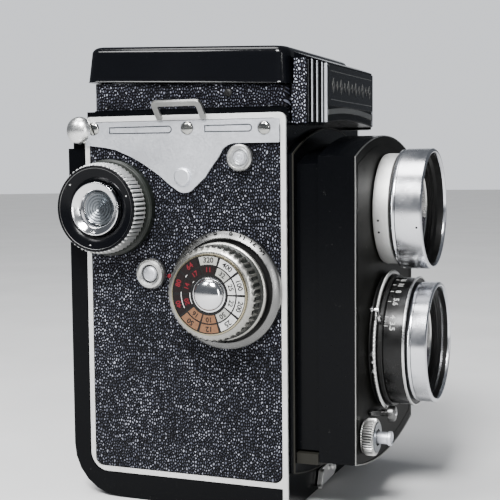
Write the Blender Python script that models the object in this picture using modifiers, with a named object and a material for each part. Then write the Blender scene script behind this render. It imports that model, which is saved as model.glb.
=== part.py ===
"""Twin lens reflex camera: hollow body, L-shaped back, folding hood and sliding lens standard.

Row frame, metres: X = 0 is the plane through both lens axes, the lenses look towards -Y, +Z is up,
and the origin lies on the flat underside of the hinged back.
"""

import math

import bmesh
import bpy
from mathutils import Matrix, Vector

MM = 0.001
GAP = 0.1

# Body
HALF_X = 37.0
SKIN_X = 38.0
FRONT_Y = -35.0
REAR_Y = 31.6
TOP_Z = 122.0
SILL_Z = 8.2
WALL = 2.0
BODY_CORNER_R = 6.2
BACK_Y = 38.1
BACK_CORNER_R = 16.0
HINGE_Y = 33.3
HINGE_Z = 116.3
HINGE_PIN_R = 1.7
KNUCKLE_R = 3.0

# Lens axes and the standard that carries them
VIEW_Z = 90.8
TAKE_Z = 48.8
PLATE_Y = -55.2
BOX_HALF_X = 34.5
BOX_SIDE_LOW = 16.3
BOX_SIDE_HIGH = 107.3
BOX_ARCH_TOP = 6.7
BOX_ARCH_LOW = 4.2
BOX_REAR_Y = -43.7
COLLAR_HALF_X = 33.0
LENS_RING_R = 18.96

# Controls on the winding side
WIND_Y, WIND_Z = 22.65, 92.2
FOCUS_Y, FOCUS_Z = -15.84, 67.6
LOCK_Y, LOCK_Z = 9.1, 71.9
FLASH_Y, FLASH_Z = -20.9, 107.2
SPOOL_LOW_Y, SPOOL_LOW_Z = -14.0, 23.8
SPOOL_HIGH_Y, SPOOL_HIGH_Z = 17.5, 88.0
SPOOL_R = 12.4
SHAFT_R = 2.0
SHAFT_BORE_R = 2.15
LUG_LEAN = math.radians(42)

# Hood
HOOD_HALF_X = 32.0
HOOD_FRONT_Y = -34.1
HOOD_REAR_Y = 32.4
HOOD_TOP_Z = 129.0
HOOD_SLOPE = 0.037
LID_FRONT_Y = -34.7
LID_REAR_Y = 34.8
LID_HALF_X = 33.4
LID_WALL = 1.4
LID_TOP_Z = 140.4
LID_HINGE_Y = -34.0
LID_HINGE_Z = 139.4
LEAF_Z = 131.8
LOUPE_Z = 138.8
BROW_LOW_Z = 116.7
BROW_HIGH_Z = 138.2
BROW_REAR_Y = -36.0
BROW_FRONT_Y = -43.5
BROW_SLOPE = 0.35
LEAF_HINGE_X = 29.0
LEAF_REAR_Y = 29.5
LEAF_REACH = 26.0

ROUND_STEPS = 28
SMALL_STEPS = 16

AXES = {
    "left": Matrix(((0, 0, -1), (0, 1, 0), (1, 0, 0))),
    "right": Matrix(((0, 0, 1), (0, 1, 0), (-1, 0, 0))),
    "front": Matrix(((1, 0, 0), (0, 0, -1), (0, 1, 0))),
    "side": Matrix(((0, 0, 1), (1, 0, 0), (0, 1, 0))),
    "up": Matrix.Identity(3),
    "down": Matrix(((1, 0, 0), (0, -1, 0), (0, 0, -1))),
}

MATERIALS = {
    "enamel": ((0.012, 0.012, 0.013, 1.0), 0.28, 0.0),
    "leather": ((0.02, 0.02, 0.021, 1.0), 0.6, 0.0),
    "satin": ((0.62, 0.62, 0.6, 1.0), 0.38, 1.0),
    "chrome": ((0.75, 0.75, 0.76, 1.0), 0.1, 1.0),
    "blackened": ((0.018, 0.018, 0.018, 1.0), 0.5, 0.3),
    "dial": ((0.03, 0.03, 0.03, 1.0), 0.4, 0.0),
    "glass": ((0.8, 0.85, 0.9, 0.35), 0.03, 0.0),
    "mirror": ((0.85, 0.85, 0.86, 1.0), 0.02, 1.0),
    "red": ((0.5, 0.02, 0.02, 1.0), 0.4, 0.0),
}


def clear_scene():
    for obj in list(bpy.data.objects):
        bpy.data.objects.remove(obj, do_unlink=True)


def collection(name):
    found = bpy.data.collections.new(name)
    bpy.context.scene.collection.children.link(found)
    return found


clear_scene()
CAMERA = collection("twin_lens_reflex_camera")
CUTTERS = collection("cutters")


def material(name):
    found = bpy.data.materials.get(name)
    if found:
        return found
    colour, roughness, metallic = MATERIALS[name]
    found = bpy.data.materials.new(name)
    found.use_nodes = True
    shader = found.node_tree.nodes["Principled BSDF"]
    shader.inputs["Base Color"].default_value = colour
    shader.inputs["Roughness"].default_value = roughness
    shader.inputs["Metallic"].default_value = metallic
    return found


def finish(name, mesh, look, pivot=(0, 0, 0)):
    """Puts a mesh given in row millimetres into the camera, its origin on the given pivot."""
    pivot = Vector(pivot)
    mesh.transform(Matrix.Diagonal((MM, MM, MM, 1)) @ Matrix.Translation(-pivot))
    obj = bpy.data.objects.new(name, mesh)
    obj.location = pivot * MM
    CAMERA.objects.link(obj)
    own = material(look).copy()
    own.name = name
    mesh.materials.clear()
    mesh.materials.append(own)
    mesh.shade_smooth()
    mesh.set_sharp_from_angle(angle=math.radians(30))
    return obj


def placed(mesh, axis, centre):
    turn = AXES[axis].to_4x4()
    mesh.transform(Matrix.Translation(Vector(centre)) @ turn)
    return mesh


def evaluated_mesh(obj, weld=1e-4):
    bpy.context.view_layer.update()
    graph = bpy.context.evaluated_depsgraph_get()
    mesh = bpy.data.meshes.new_from_object(obj.evaluated_get(graph))
    bpy.data.objects.remove(obj, do_unlink=True)
    work = bmesh.new()
    work.from_mesh(mesh)
    bmesh.ops.remove_doubles(work, verts=work.verts, dist=weld)
    bmesh.ops.recalc_face_normals(work, faces=work.faces)
    work.to_mesh(mesh)
    work.free()
    return mesh


def turned(profile, axis, centre, steps=ROUND_STEPS, ring=False):
    """A lathe shape from (radius, height) pairs; height runs along the named direction."""
    mesh = bpy.data.meshes.new("profile")
    count = len(profile)
    edges = [(i, i + 1) for i in range(count - 1)]
    if ring:
        edges.append((count - 1, 0))
    mesh.from_pydata([(r, 0, h) for r, h in profile], edges, [])
    obj = bpy.data.objects.new("profile", mesh)
    CUTTERS.objects.link(obj)
    screw = obj.modifiers.new("lathe", "SCREW")
    screw.axis = "Z"
    screw.steps = steps
    screw.render_steps = steps
    screw.use_merge_vertices = True
    screw.merge_threshold = 1e-4
    return placed(evaluated_mesh(obj), axis, centre)


def disc(radius, low, high, axis, centre, steps=SMALL_STEPS, edge=0.0):
    profile = [(0, high), (radius - edge, high), (radius, high - edge), (radius, low), (0, low)]
    if edge == 0.0:
        profile = [(0, high), (radius, high), (radius, low), (0, low)]
    return turned(profile, axis, centre, steps)


def tube(inner, outer, low, high, axis, centre, steps=ROUND_STEPS, edge=0.0):
    profile = [(inner, high), (outer - edge, high), (outer, high - edge), (outer, low), (inner, low)]
    if edge == 0.0:
        profile = [(inner, high), (outer, high), (outer, low), (inner, low)]
    return turned(profile, axis, centre, steps, ring=True)


def slab(outlines, axis, low, high):
    """A flat shape, outer line first and then its holes, thickened from low to high."""
    curve = bpy.data.curves.new("outline", "CURVE")
    curve.dimensions = "2D"
    curve.fill_mode = "BOTH"
    curve.extrude = (high - low) / 2
    for outline in outlines:
        spline = curve.splines.new("POLY")
        spline.points.add(len(outline) - 1)
        for point, (u, v) in zip(spline.points, outline):
            point.co = (u, v, 0, 1)
        spline.use_cyclic_u = True
    obj = bpy.data.objects.new("outline", curve)
    CUTTERS.objects.link(obj)
    mesh = evaluated_mesh(obj)
    mesh.transform(Matrix.Translation((0, 0, (high + low) / 2)))
    return placed(mesh, axis, (0, 0, 0))


def box(low, high):
    work = bmesh.new()
    bmesh.ops.create_cube(work, size=1)
    mesh = bpy.data.meshes.new("box")
    work.to_mesh(mesh)
    work.free()
    low, high = Vector(low), Vector(high)
    mesh.transform(Matrix.Translation((low + high) / 2) @ Matrix.Diagonal((*(high - low), 1)))
    return mesh


def joined(base, pieces, operation):
    """One mesh after an exact union with, or cut by, each piece in turn."""
    obj = bpy.data.objects.new("base", base)
    CUTTERS.objects.link(obj)
    tools = []
    for piece in pieces:
        tool = bpy.data.objects.new("tool", piece)
        tool.hide_render = True
        tool.display_type = "WIRE"
        CUTTERS.objects.link(tool)
        step = obj.modifiers.new("boolean", "BOOLEAN")
        step.operation = operation
        step.solver = "EXACT"
        step.object = tool
        tools.append(tool)
    mesh = evaluated_mesh(obj, 1e-6)
    for tool in tools:
        bpy.data.objects.remove(tool, do_unlink=True)
    return mesh


def cut(base, *pieces):
    return joined(base, pieces, "DIFFERENCE")


def fused(base, *pieces):
    return joined(base, pieces, "UNION")


def arc(centre, radius, start, end, count):
    """Points on an arc, angles in degrees, both ends included."""
    points = []
    for i in range(count + 1):
        angle = math.radians(start + (end - start) * i / count)
        points.append((centre[0] + radius * math.cos(angle), centre[1] + radius * math.sin(angle)))
    return points


def rounded(low, high, radius, count=4):
    """A rectangle with round corners."""
    left, bottom = low[0] + radius, low[1] + radius
    right, top = high[0] - radius, high[1] - radius
    line = arc((right, top), radius, 0, 90, count)
    line += arc((left, top), radius, 90, 180, count)
    line += arc((left, bottom), radius, 180, 270, count)
    line += arc((right, bottom), radius, 270, 360, count)
    return line


def arched(half, low, high, rise_low, rise_high, count=10):
    """The standard's outline: straight sides, a bow on top and a shallower bow below."""
    line = []
    for i in range(count + 1):
        x = half - 2 * half * i / count
        line.append((x, high + rise_high * (1 - (x / half) ** 2)))
    for i in range(count + 1):
        x = -half + 2 * half * i / count
        line.append((x, low - rise_low * (1 - (x / half) ** 2)))
    return line


def side_bores(low, high):
    """Cutters for every shaft that passes through the winding side."""
    spots = ((WIND_Y, WIND_Z), (FOCUS_Y, FOCUS_Z), (LOCK_Y, LOCK_Z), (FLASH_Y, FLASH_Z))
    return [disc(SHAFT_BORE_R, low, high, "left", (0, y, z)) for y, z in spots]


def spool_bores(low, high):
    spots = ((SPOOL_LOW_Y, SPOOL_LOW_Z), (SPOOL_HIGH_Y, SPOOL_HIGH_Z))
    return [disc(SHAFT_BORE_R, low, high, "right", (0, y, z)) for y, z in spots]


def build_body():
    profile = l_outline(FRONT_Y, SILL_Z, REAR_Y, TOP_Z, BODY_CORNER_R) + [(FRONT_Y, TOP_Z)]
    outer = slab([profile], "side", -HALF_X, HALF_X)
    sill = box((-HALF_X, FRONT_Y, 0.3), (HALF_X, FRONT_Y + 1.5, SILL_Z + 1))
    inside = box((-HALF_X + WALL, FRONT_Y + WALL, -5), (HALF_X - WALL, REAR_Y + 9, TOP_Z - 3))
    screen_well = box((-28.5, -28.5, TOP_Z - 8), (28.5, 28.5, TOP_Z + 5))
    lens_way = slab([arched(29, 20, 103, 3, 5)], "front", -FRONT_Y - 5, -FRONT_Y + 5)
    hinge_relief = disc(KNUCKLE_R + 0.4, -50, 50, "right", (0, HINGE_Y, HINGE_Z))
    shell = cut(fused(outer, sill), inside, screen_well, lens_way, hinge_relief)
    shell = cut(shell, *side_bores(30, 45), *spool_bores(30, 45))
    finish("body_shell", shell, "enamel")

    rim = arched(36, 12.5, 108.2, 4.4, 8.4)
    way = arched(COLLAR_HALF_X - 2, 22, 103, 3.2, 5)
    collar = arched(COLLAR_HALF_X, 19.4, 105.2, 4.2, 6.4)
    flange = slab([rim, way], "front", -FRONT_Y + GAP, -FRONT_Y + 1.6)
    sleeve = slab([collar, way], "front", -FRONT_Y + 1, -PLATE_Y - 3.2)
    lower = box((-50, -60, 0), (50, -20, 19.0))
    shelf = slab([arched(34.4, 12.5, 21, 4.2, 1), collar], "front", -FRONT_Y + 1, -BOX_REAR_Y - 0.3)
    shelf = joined(shelf, [lower], "INTERSECT")
    finish("fixed_collar", fused(flange, sleeve, shelf), "enamel")


def side_panel(side, sign):
    line = rounded((FRONT_Y + 1.8, 9.9), (30.2, 118.6), 2.5)
    face = slab([line], "side", 0, 0.8)
    face.transform(Matrix.Translation((HALF_X + GAP if sign > 0 else -HALF_X - GAP - 0.8, 0, 0)))
    bores = side_bores(30, 45) if sign < 0 else spool_bores(30, 45)
    finish(f"side_panel_{side}", cut(face, *bores), "leather")


def side_trim(side, sign):
    outer = arc((26, 14), 6, 270, 360, 4) + [(32, 118.4), (30, 120.4), (-33, 120.4), (FRONT_Y, 118.4)]
    outer += [(FRONT_Y, 0.4), (FRONT_Y + 1.6, 0.4), (FRONT_Y + 1.6, 8)]
    inner = rounded((FRONT_Y + 1.6, 9.7), (30.4, 118.8), 2.7)
    inner = [(max(y, FRONT_Y + 1.61), z) for y, z in inner]
    low = HALF_X + GAP if sign > 0 else -HALF_X - GAP - 0.9
    relief = disc(HINGE_PIN_R + 0.3, -60, 60, "right", (0, HINGE_Y, HINGE_Z))
    finish(f"side_trim_{side}", cut(slab([outer, inner], "side", low, low + 0.9), relief), "satin")


def strap_plate(side, sign):
    line = [(31.2, 118.6), (31.2, 111.6), (24.6, 110.8), (20.6, 110.0), (15.3, 107.8), (11.3, 105.7)]
    line += [(5.8, 102.1), (2.4, 99.2), (-0.8, 97.2), (-3, 96.8), (-5.4, 97.4), (-8.5, 99.5)]
    line += [(-11.3, 104.1), (-14, 107.5), (-16.7, 110.1), (-19.3, 111.3), (-22.9, 111.6), (-33.2, 111.6)]
    line += [(-33.2, 118.6)]
    low = SKIN_X + GAP if sign > 0 else -SKIN_X - GAP - 0.8
    finish(f"strap_plate_{side}", slab([line], "side", low, low + 0.8), "satin")


def winding_side_screws():
    for label, y, z in (("rear", 28.5, 116.7), ("middle", -3.7, 116.3), ("front", -28.6, 115.9)):
        head = disc(1.9, 39.05, 39.6, "left", (0, y, z), 16, 0.25)
        finish(f"plate_screw_{label}", head, "chrome")
    rivet = disc(2.75, 39.05, 40.0, "left", (0, -2.1, 101.7), SMALL_STEPS, 0.5)
    finish("plate_rivet", rivet, "satin")


def strap_lug(side, sign):
    """A bracket for the neck strap, resting with its top leaning away from the body."""
    y0, y1, foot, top, bar = -10.4, 6.0, -0.85, 6.2, 1.8
    outer = rounded((y0, foot), (y1, top), 0.8, 2)
    inner = rounded((y0 + bar, foot + bar), (y1 - bar, top - bar), 0.4, 2)
    pivot = (sign * 39.8, 0, 119.75)
    lug = slab([outer, inner], "side", -0.7, 0.7)
    lug.transform(Matrix.Translation(pivot) @ Matrix.Rotation(sign * LUG_LEAN, 4, "Y"))
    finish(f"strap_lug_{side}", lug, "satin", pivot)


def build_sides():
    for side, sign in (("left", -1), ("right", 1)):
        side_panel(side, sign)
        side_trim(side, sign)
        strap_plate(side, sign)
        strap_lug(side, sign)
    winding_side_screws()
    half = [(0, 42.0), (1.9, 41.7), (3.4, 41.0), (4.3, 39.7), (HINGE_PIN_R, 39.7)]
    whole = half + [(r, -x) for r, x in reversed(half)]
    pin = turned(whole, "right", (0, HINGE_Y, HINGE_Z), 24)
    finish("hinge_pin", pin, "chrome")


def l_outline(front, low, rear, top, corner):
    return [(front, low)] + arc((rear - corner, low + corner), corner, 270, 360, 6) + [(rear, top)]


def build_back():
    outer = l_outline(FRONT_Y + 1.8, 0, BACK_Y, 115.4, BACK_CORNER_R)
    inner = list(reversed(l_outline(FRONT_Y + 1.8, 7.7, 32.3, 115.4, BODY_CORNER_R - 0.4)))
    door = slab([outer + inner], "side", -HALF_X - 0.9, HALF_X + 0.9)
    pocket_outer = l_outline(FRONT_Y + 4, 2, BACK_Y - 2, 107.3, BACK_CORNER_R - 2)
    pocket_inner = list(reversed(l_outline(FRONT_Y + 4, 12, 24, 107.3, BACK_CORNER_R - 10)))
    pocket = slab([pocket_outer + pocket_inner], "side", -HALF_X + 1.6, HALF_X - 1.6)
    knuckle = disc(KNUCKLE_R, -HALF_X + 1.7, HALF_X - 1.7, "right", (0, HINGE_Y, HINGE_Z), 24)
    ends = [box((x - 2.2, 30, 110.7), (x + 2.2, 40, 121)) for x in (-HALF_X, HALF_X)]
    bore = disc(HINGE_PIN_R + 0.1, -60, 60, "right", (0, HINGE_Y, HINGE_Z), 24)
    tripod_hole = disc(9.1, -5, 10, "up", (0, 14, 0), 32)
    window_hole = disc(4.1, -5, 10, "front", (0, 36, 46), 24)
    door = cut(cut(cut(cut(door, *ends), pocket), tripod_hole), window_hole)
    door = cut(fused(door, knuckle), bore)
    finish("back_door", door, "enamel", (0, HINGE_Y, HINGE_Z))
    bush = turned([(3.2, 7), (6, 7), (6, 3), (9, 3), (9, 0.1), (3.2, 0.1)], "up", (0, 14, 0), 32, True)
    finish("tripod_bush", bush, "satin")
    finish("counter_window", disc(3.95, -37.6, -36.4, "front", (0, 0, 46), 24), "red")
    finish("pressure_plate", box((-30, 32.2, 16), (30, 33.0, 80)), "blackened")
    latch = [(6.4, 5.4), (4.9, 6.8), (1, 6.9), (-15, 2.0), (-16, 1.0), (-13, 0.6), (5, 2.2), (6.4, 3.4)]
    latch_mesh = slab([latch], "front", 35.2, 36.6)
    rivet = disc(1.6, 36, 37.4, "front", (3.5, 0, 4.2), 16, 0.4)
    finish("back_latch", fused(latch_mesh, rivet), "chrome", (3.5, -36, 4.2))


def build_chamber():
    gate = slab([rounded((-33, 17.6), (33, 80), 1), rounded((-28, 20.8), (28, 76.8), 0.5)], "front", -31.3, -29)
    finish("film_gate", gate, "blackened")
    centre = (0, SPOOL_HIGH_Y, SPOOL_HIGH_Z)
    spool = turned([(0, 32), (SPOOL_R, 32), (SPOOL_R, 30.5), (4.5, 30.5), (4.5, -30.5), (SPOOL_R, -30.5),
                    (SPOOL_R, -32), (0, -32)], "right", centre, 32)
    finish("take_up_spool", spool, "blackened", centre)
    glass = box((-28, -28, 119.3), (28, 28, 121.4))
    finish("focusing_screen", glass, "glass")
    mirror = box((-27.5, -29, -1), (27.5, 29, 1))
    mirror.transform(Matrix.Translation((0, 1, 92.5)) @ Matrix.Rotation(math.radians(45), 4, "X"))
    finish("reflex_mirror", mirror, "mirror")


def build_wind_knob():
    at = (0, WIND_Y, WIND_Z)
    base = tube(2.4, 15.0, 38.1, 41.2, "left", at, 32, 0.6)
    finish("wind_knob_base", base, "blackened")
    rim = turned([(0, 44.6), (9, 44.6), (9, 48.4), (13.1, 48.4), (14.0, 47.6), (14.0, 42.2), (13.2, 41.5),
                  (SHAFT_R, 41.5), (SHAFT_R, 33.0), (0, 33.0)], "left", at, 32)
    finish("wind_knob_rim", rim, "satin", at)
    face = turned([(8.4, 49.2), (12.8, 49.2), (12.8, 48.5), (8.9, 48.5), (8.9, 46), (8.4, 46)], "left",
                  at, 32, True)
    finish("wind_knob_cap", face, "enamel", at)
    button = turned([(0, 47.2), (5.0, 47.2), (5.7, 48.6), (8.0, 49.6), (8.3, 49.2), (8.3, 44.7), (0, 44.7)],
                    "left", at, 28)
    finish("wind_knob_centre", button, "chrome", at)


def build_focus_knob():
    at = (0, FOCUS_Y, FOCUS_Z)
    finish("focus_scale_ring", tube(2.4, 17.85, 38.1, 41.0, "left", at, 36, 0.4), "satin")
    rim = turned([(0, 49.4), (11.2, 49.4), (11.2, 50.6), (13.2, 50.6), (14.2, 49.6), (14.2, 45.4),
                  (15.3, 44.8), (15.3, 41.3), (SHAFT_R, 41.3), (SHAFT_R, 33.0), (0, 33.0)], "left", at, 36)
    finish("focus_knob_rim", rim, "satin", at)
    dial = turned([(5.2, 51.6), (11.9, 51.6), (12.1, 51.3), (12.1, 50.75), (11.05, 50.75), (11.05, 49.5),
                   (5.2, 49.5)], "left", at, 36, True)
    finish("film_speed_dial", dial, "dial", at)
    dome = turned([(0, 53.8), (2.0, 53.4), (3.7, 52.6), (4.7, 51.8), (5.1, 51.0), (5.1, 49.5), (0, 49.5)],
                  "left", at, 32)
    finish("focus_knob_dome", dome, "chrome", at)


def push_button(name, y, z, outer, inner, height):
    at = (0, y, z)
    finish(f"{name}_ring", tube(inner + 0.1, outer, 38.1, height, "left", at, 28, 0.5), "satin")
    stem = turned([(0, height + 0.2), (inner - 0.5, height + 0.2), (inner, height - 0.3), (inner, 39.6),
                   (SHAFT_R, 39.6), (SHAFT_R, 34.5), (0, 34.5)], "left", at, 24)
    finish(f"{name}_button", stem, "chrome", at)


def build_controls():
    push_button("winding_lock", LOCK_Y, LOCK_Z, 4.75, 2.35, 40.4)
    push_button("flash_contact", FLASH_Y, FLASH_Z, 4.0, 2.2, 40.2)
    finish("index_dot", disc(0.7, 38.1, 38.5, "left", (0, 3.2, 71.2), 12), "red")
    for label, y, z in (("lower", SPOOL_LOW_Y, SPOOL_LOW_Z), ("upper", SPOOL_HIGH_Y, SPOOL_HIGH_Z)):
        knob = turned([(0, 45.2), (6.2, 45.2), (7.4, 44.4), (7.4, 39.6), (SHAFT_R, 39.6), (SHAFT_R, 32.6),
                       (0, 32.6)], "right", (0, y, z), 32)
        finish(f"spool_knob_{label}", knob, "satin", (0, y, z))


def sloped(mesh, above):
    """Raises everything higher than `above` towards the rear, as the hood closes on a slope."""
    for vertex in mesh.vertices:
        if vertex.co.z > above:
            vertex.co.z += HOOD_SLOPE * (vertex.co.y - LID_FRONT_Y)
    return mesh


def build_hood():
    outer = rounded((-HOOD_HALF_X, HOOD_FRONT_Y), (HOOD_HALF_X, HOOD_REAR_Y), 3)
    inner = rounded((-28.6, -29.5), (28.6, 28.6), 1)
    base = slab([outer, inner], "up", TOP_Z + GAP, HOOD_TOP_Z)
    finish("hood_base", sloped(base, TOP_Z + 1), "leather")
    lid_outer = rounded((-LID_HALF_X, LID_FRONT_Y), (LID_HALF_X, LID_REAR_Y), 3)
    lid = slab([lid_outer], "up", HOOD_TOP_Z + GAP, LID_TOP_Z)
    inside = LID_HALF_X - LID_WALL
    hollow_line = rounded((-inside, LID_FRONT_Y + LID_WALL), (inside, LID_REAR_Y - LID_WALL), 2)
    hollow = slab([hollow_line], "up", HOOD_TOP_Z - 3, LID_TOP_Z - LID_WALL)
    pivot = (0, LID_HINGE_Y, LID_HINGE_Z)
    finish("hood_lid", sloped(cut(lid, hollow), 0), "enamel", pivot)
    for label, sign in (("left", -1), ("right", 1)):
        root, tip = sign * LEAF_HINGE_X, sign * (LEAF_HINGE_X - LEAF_REACH)
        line = [(root, -26), (root, 27), (tip, 27 - LEAF_REACH), (tip, 0.2)]
        if sign < 0:
            line.reverse()
        leaf = slab([line], "up", LEAF_Z, LEAF_Z + 0.6)
        finish(f"hood_leaf_{label}", leaf, "enamel", (root, 0, LEAF_Z))
    rear = [(-27.4, LEAF_REAR_Y), (27.4, LEAF_REAR_Y), (2.5, LEAF_REAR_Y - 24.9), (-2.5, LEAF_REAR_Y - 24.9)]
    finish("hood_leaf_rear", slab([rear], "up", LEAF_Z, LEAF_Z + 0.6), "enamel", (0, LEAF_REAR_Y, LEAF_Z))
    plate = [rounded((-14, -6), (14, 24), 3), arc((0, 10), 10.2, 0, 345, 23)]
    pivot = (0, -5, LOUPE_Z)
    finish("magnifier_frame", slab(plate, "up", LOUPE_Z - 0.8, LOUPE_Z + 0.8), "blackened", pivot)
    lens = turned([(0, 1.2), (5.5, 0.8), (10.1, 0), (5.5, -0.8), (0, -1.2)], "up", (0, 10, LOUPE_Z), 24)
    finish("magnifier_lens", lens, "glass", pivot)


def build_nameplate():
    """The brow before the hood: stepped sides, a sloping top and an arch over the lens standard."""
    half = [(33.0, FRONT_Y - GAP), (33.0, -40.1), (31.0, -40.3), (30.8, -41.0), (29.0, -41.2), (28.8, -41.9)]
    half += [(27.0, -42.1), (26.8, -42.8), (25.2, -43.0), (25.0, BROW_FRONT_Y)]
    plan = half + [(-x, y) for x, y in reversed(half)]
    plan.reverse()
    brow = slab([plan], "up", BROW_LOW_Z, BROW_HIGH_Z)
    for vertex in brow.vertices:
        if vertex.co.z > HOOD_TOP_Z:
            vertex.co.z += BROW_SLOPE * (vertex.co.y - BROW_REAR_Y)
    tunnel = [(-26, 110), (26, 110), (26, 117.2), (18, 118.4), (8, 119.1), (-8, 119.1), (-18, 118.4), (-26, 117.2)]
    lid_gap = box((-40, BROW_REAR_Y, 128.9), (40, -30, 150))
    finish("nameplate_housing", cut(brow, lid_gap, slab([tunnel], "front", 30, 50)), "enamel")
    inner = rounded((-24.5, 122.2), (24.5, 134.9), 0.6, 2)
    finish("nameplate", slab([inner], "front", -BROW_FRONT_Y + GAP, -BROW_FRONT_Y + 0.6), "satin")


def build_standard():
    outer = arched(BOX_HALF_X, BOX_SIDE_LOW, BOX_SIDE_HIGH, BOX_ARCH_LOW, BOX_ARCH_TOP)
    inner = arched(COLLAR_HALF_X + 0.3, 18.6, 105.7, 3.9, 6.4)
    tube_mesh = slab([outer, inner], "front", -BOX_REAR_Y, -PLATE_Y - 1.4)
    face = slab([outer], "front", -PLATE_Y - 2, -PLATE_Y)
    holes = [disc(13.5, 30, 80, "front", (0, 0, z), 28) for z in (VIEW_Z, TAKE_Z)]
    release_bore = disc(1.3, 30, 80, "front", (-26, 0, 23.2), 16)
    finish("front_housing", cut(fused(tube_mesh, face), *holes, release_bore), "enamel")

    view = (0, 0, VIEW_Z)
    rear = tube(13.4, 17.5, 55.3, 60.9, "front", view, 32, 0.3)
    finish("viewing_lens_mount", rear, "satin")
    ring = turned([(15.2, 70.8), (18.3, 70.8), (LENS_RING_R, 70.3), (LENS_RING_R, 61.7), (18.2, 61.0),
                   (13.4, 61.0), (13.4, 66.0)], "front", view, 32, True)
    finish("viewing_lens_ring", ring, "chrome")
    glass = turned([(0, 65.4), (7, 64.6), (13.2, 61.6), (13.2, 58), (0, 58)], "front", view, 28)
    finish("viewing_lens_glass", glass, "glass")

    take = (0, 0, TAKE_Z)
    finish("speed_ring", tube(20.2, 22.4, 56.0, 57.6, "front", take, 36, 0.2), "satin", take)
    case = turned([(13.6, 65.9), (20.6, 65.9), (20.6, 65.3), (19.6, 65.3), (19.9, 57.7), (19.4, 57.7), (19.4, 55.3), (13.6, 55.3)],
                  "front", take, 32, True)
    finish("shutter_case", case, "blackened")
    barrel = turned([(15.4, 72.4), (18.3, 72.4), (LENS_RING_R, 71.9), (LENS_RING_R, 66.6), (18.2, 66.0),
                     (13.6, 66.0), (13.6, 68.5)], "front", take, 32, True)
    finish("taking_lens_ring", barrel, "chrome")
    glass = turned([(0, 66.4), (7, 65.6), (13.3, 62.6), (13.3, 59), (0, 59)], "front", take, 28)
    finish("taking_lens_glass", glass, "glass")

    ring = tube(20.2, 20.9, 57.9, 59.3, "front", take, 36)
    arm = slab([[(-17.7, 60.2), (-22.8, 63.0), (-24.3, 61.9), (-23.6, 60.0), (-18.6, 57.3)]], "front", 58.1, 59.1)
    arm = cut(arm, disc(20.6, 50, 70, "front", take, 36))
    pin = disc(0.65, 56.2, 59.0, "front", (-23.2, 0, 61.5), 12)
    finish("aperture_lever", fused(ring, arm, pin), "chrome", take)
    lever_at = (-8, 0, 26.6)
    hub = turned([(0, 60.4), (2.1, 60.4), (2.5, 60.0), (2.5, 58.0), (1.05, 58.0), (1.05, 55.4), (0, 55.4)],
                 "front", lever_at, 20)
    tail = slab([[(-8, 27.4), (-14, 28.3), (-20, 29.6), (-20.2, 28.5), (-14, 27.0), (-8, 25.8)]], "front", 55.4, 55.9)
    finish("cocking_lever", fused(hub, tail), "satin", lever_at)

    button_at = (-26, 0, 23.2)
    collar = [(1.3, 59.3), (5.2, 59.3), (5.6, 58.9), (5.6, 55.8), (5.0, 55.3), (1.3, 55.3)]
    finish("release_collar", turned(collar, "front", button_at, 28, True), "satin")
    pin = turned([(0, 63.2), (1.6, 63.2), (1.9, 62.9), (1.9, 62.3), (1.2, 62.0), (1.2, 52.0), (0, 52.0)],
                 "front", button_at, 20)
    finish("release_button", pin, "chrome", button_at)


build_body()
build_sides()
build_back()
build_chamber()
build_wind_knob()
build_focus_knob()
build_controls()
build_hood()
build_nameplate()
build_standard()
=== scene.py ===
"""Looks of a twin lens reflex camera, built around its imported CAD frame.

Lengths are in millimetres in the row frame until `piece` turns them into metres. The lenses look
towards -Y, +Z is up and the winding side is -X.
"""

import math

import bmesh
import bpy
from mathutils import Matrix, Vector


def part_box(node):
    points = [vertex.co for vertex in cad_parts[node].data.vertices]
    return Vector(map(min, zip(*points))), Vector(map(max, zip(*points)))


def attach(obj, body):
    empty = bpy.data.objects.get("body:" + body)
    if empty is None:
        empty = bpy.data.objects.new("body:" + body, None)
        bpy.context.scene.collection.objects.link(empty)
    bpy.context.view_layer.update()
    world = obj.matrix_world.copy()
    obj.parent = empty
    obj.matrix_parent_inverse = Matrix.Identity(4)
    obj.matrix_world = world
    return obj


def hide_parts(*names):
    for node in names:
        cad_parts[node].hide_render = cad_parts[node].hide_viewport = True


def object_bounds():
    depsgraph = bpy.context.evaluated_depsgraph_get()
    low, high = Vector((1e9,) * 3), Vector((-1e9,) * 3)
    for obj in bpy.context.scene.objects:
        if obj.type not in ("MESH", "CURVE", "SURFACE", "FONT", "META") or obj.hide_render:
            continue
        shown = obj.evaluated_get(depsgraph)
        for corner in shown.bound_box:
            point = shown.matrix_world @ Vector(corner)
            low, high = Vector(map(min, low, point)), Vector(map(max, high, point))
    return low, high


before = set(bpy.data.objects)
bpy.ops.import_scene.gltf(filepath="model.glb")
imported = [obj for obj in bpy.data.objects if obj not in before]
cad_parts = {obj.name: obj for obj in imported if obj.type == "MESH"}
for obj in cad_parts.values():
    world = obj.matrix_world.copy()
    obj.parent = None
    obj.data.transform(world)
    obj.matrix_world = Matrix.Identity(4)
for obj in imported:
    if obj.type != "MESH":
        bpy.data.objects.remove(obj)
CAD_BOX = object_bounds()

MM = 0.001

# View of the camera: place in millimetres, turn in degrees
EYE = (-340.8, -144.6, 105.16)
YAW, PITCH, ROLL = 21.8, 4.45, -0.53
LENS_MM = 79.03

# Slopes of the hood's top and of the top of the nameplate's housing
HOOD_SLOPE = 0.037
BROW_SLOPE = 0.35

# The silver side frame: its width and the height of its lower edge
TRIM = 1.6
SILL = 8.0

# Where the parts on the two sides stand, and how deep their bosses reach into the wall
SIDE_SEAT = 38.1
BOSS_END = 33

# Teeth of the knurled parts
WIND_TEETH = 60
FOCUS_TEETH = 44
SPOOL_TEETH = 36
SPEED_TEETH = 110
COLLAR_TEETH = 40

SIDES = (("left", -1), ("right", 1))

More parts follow.
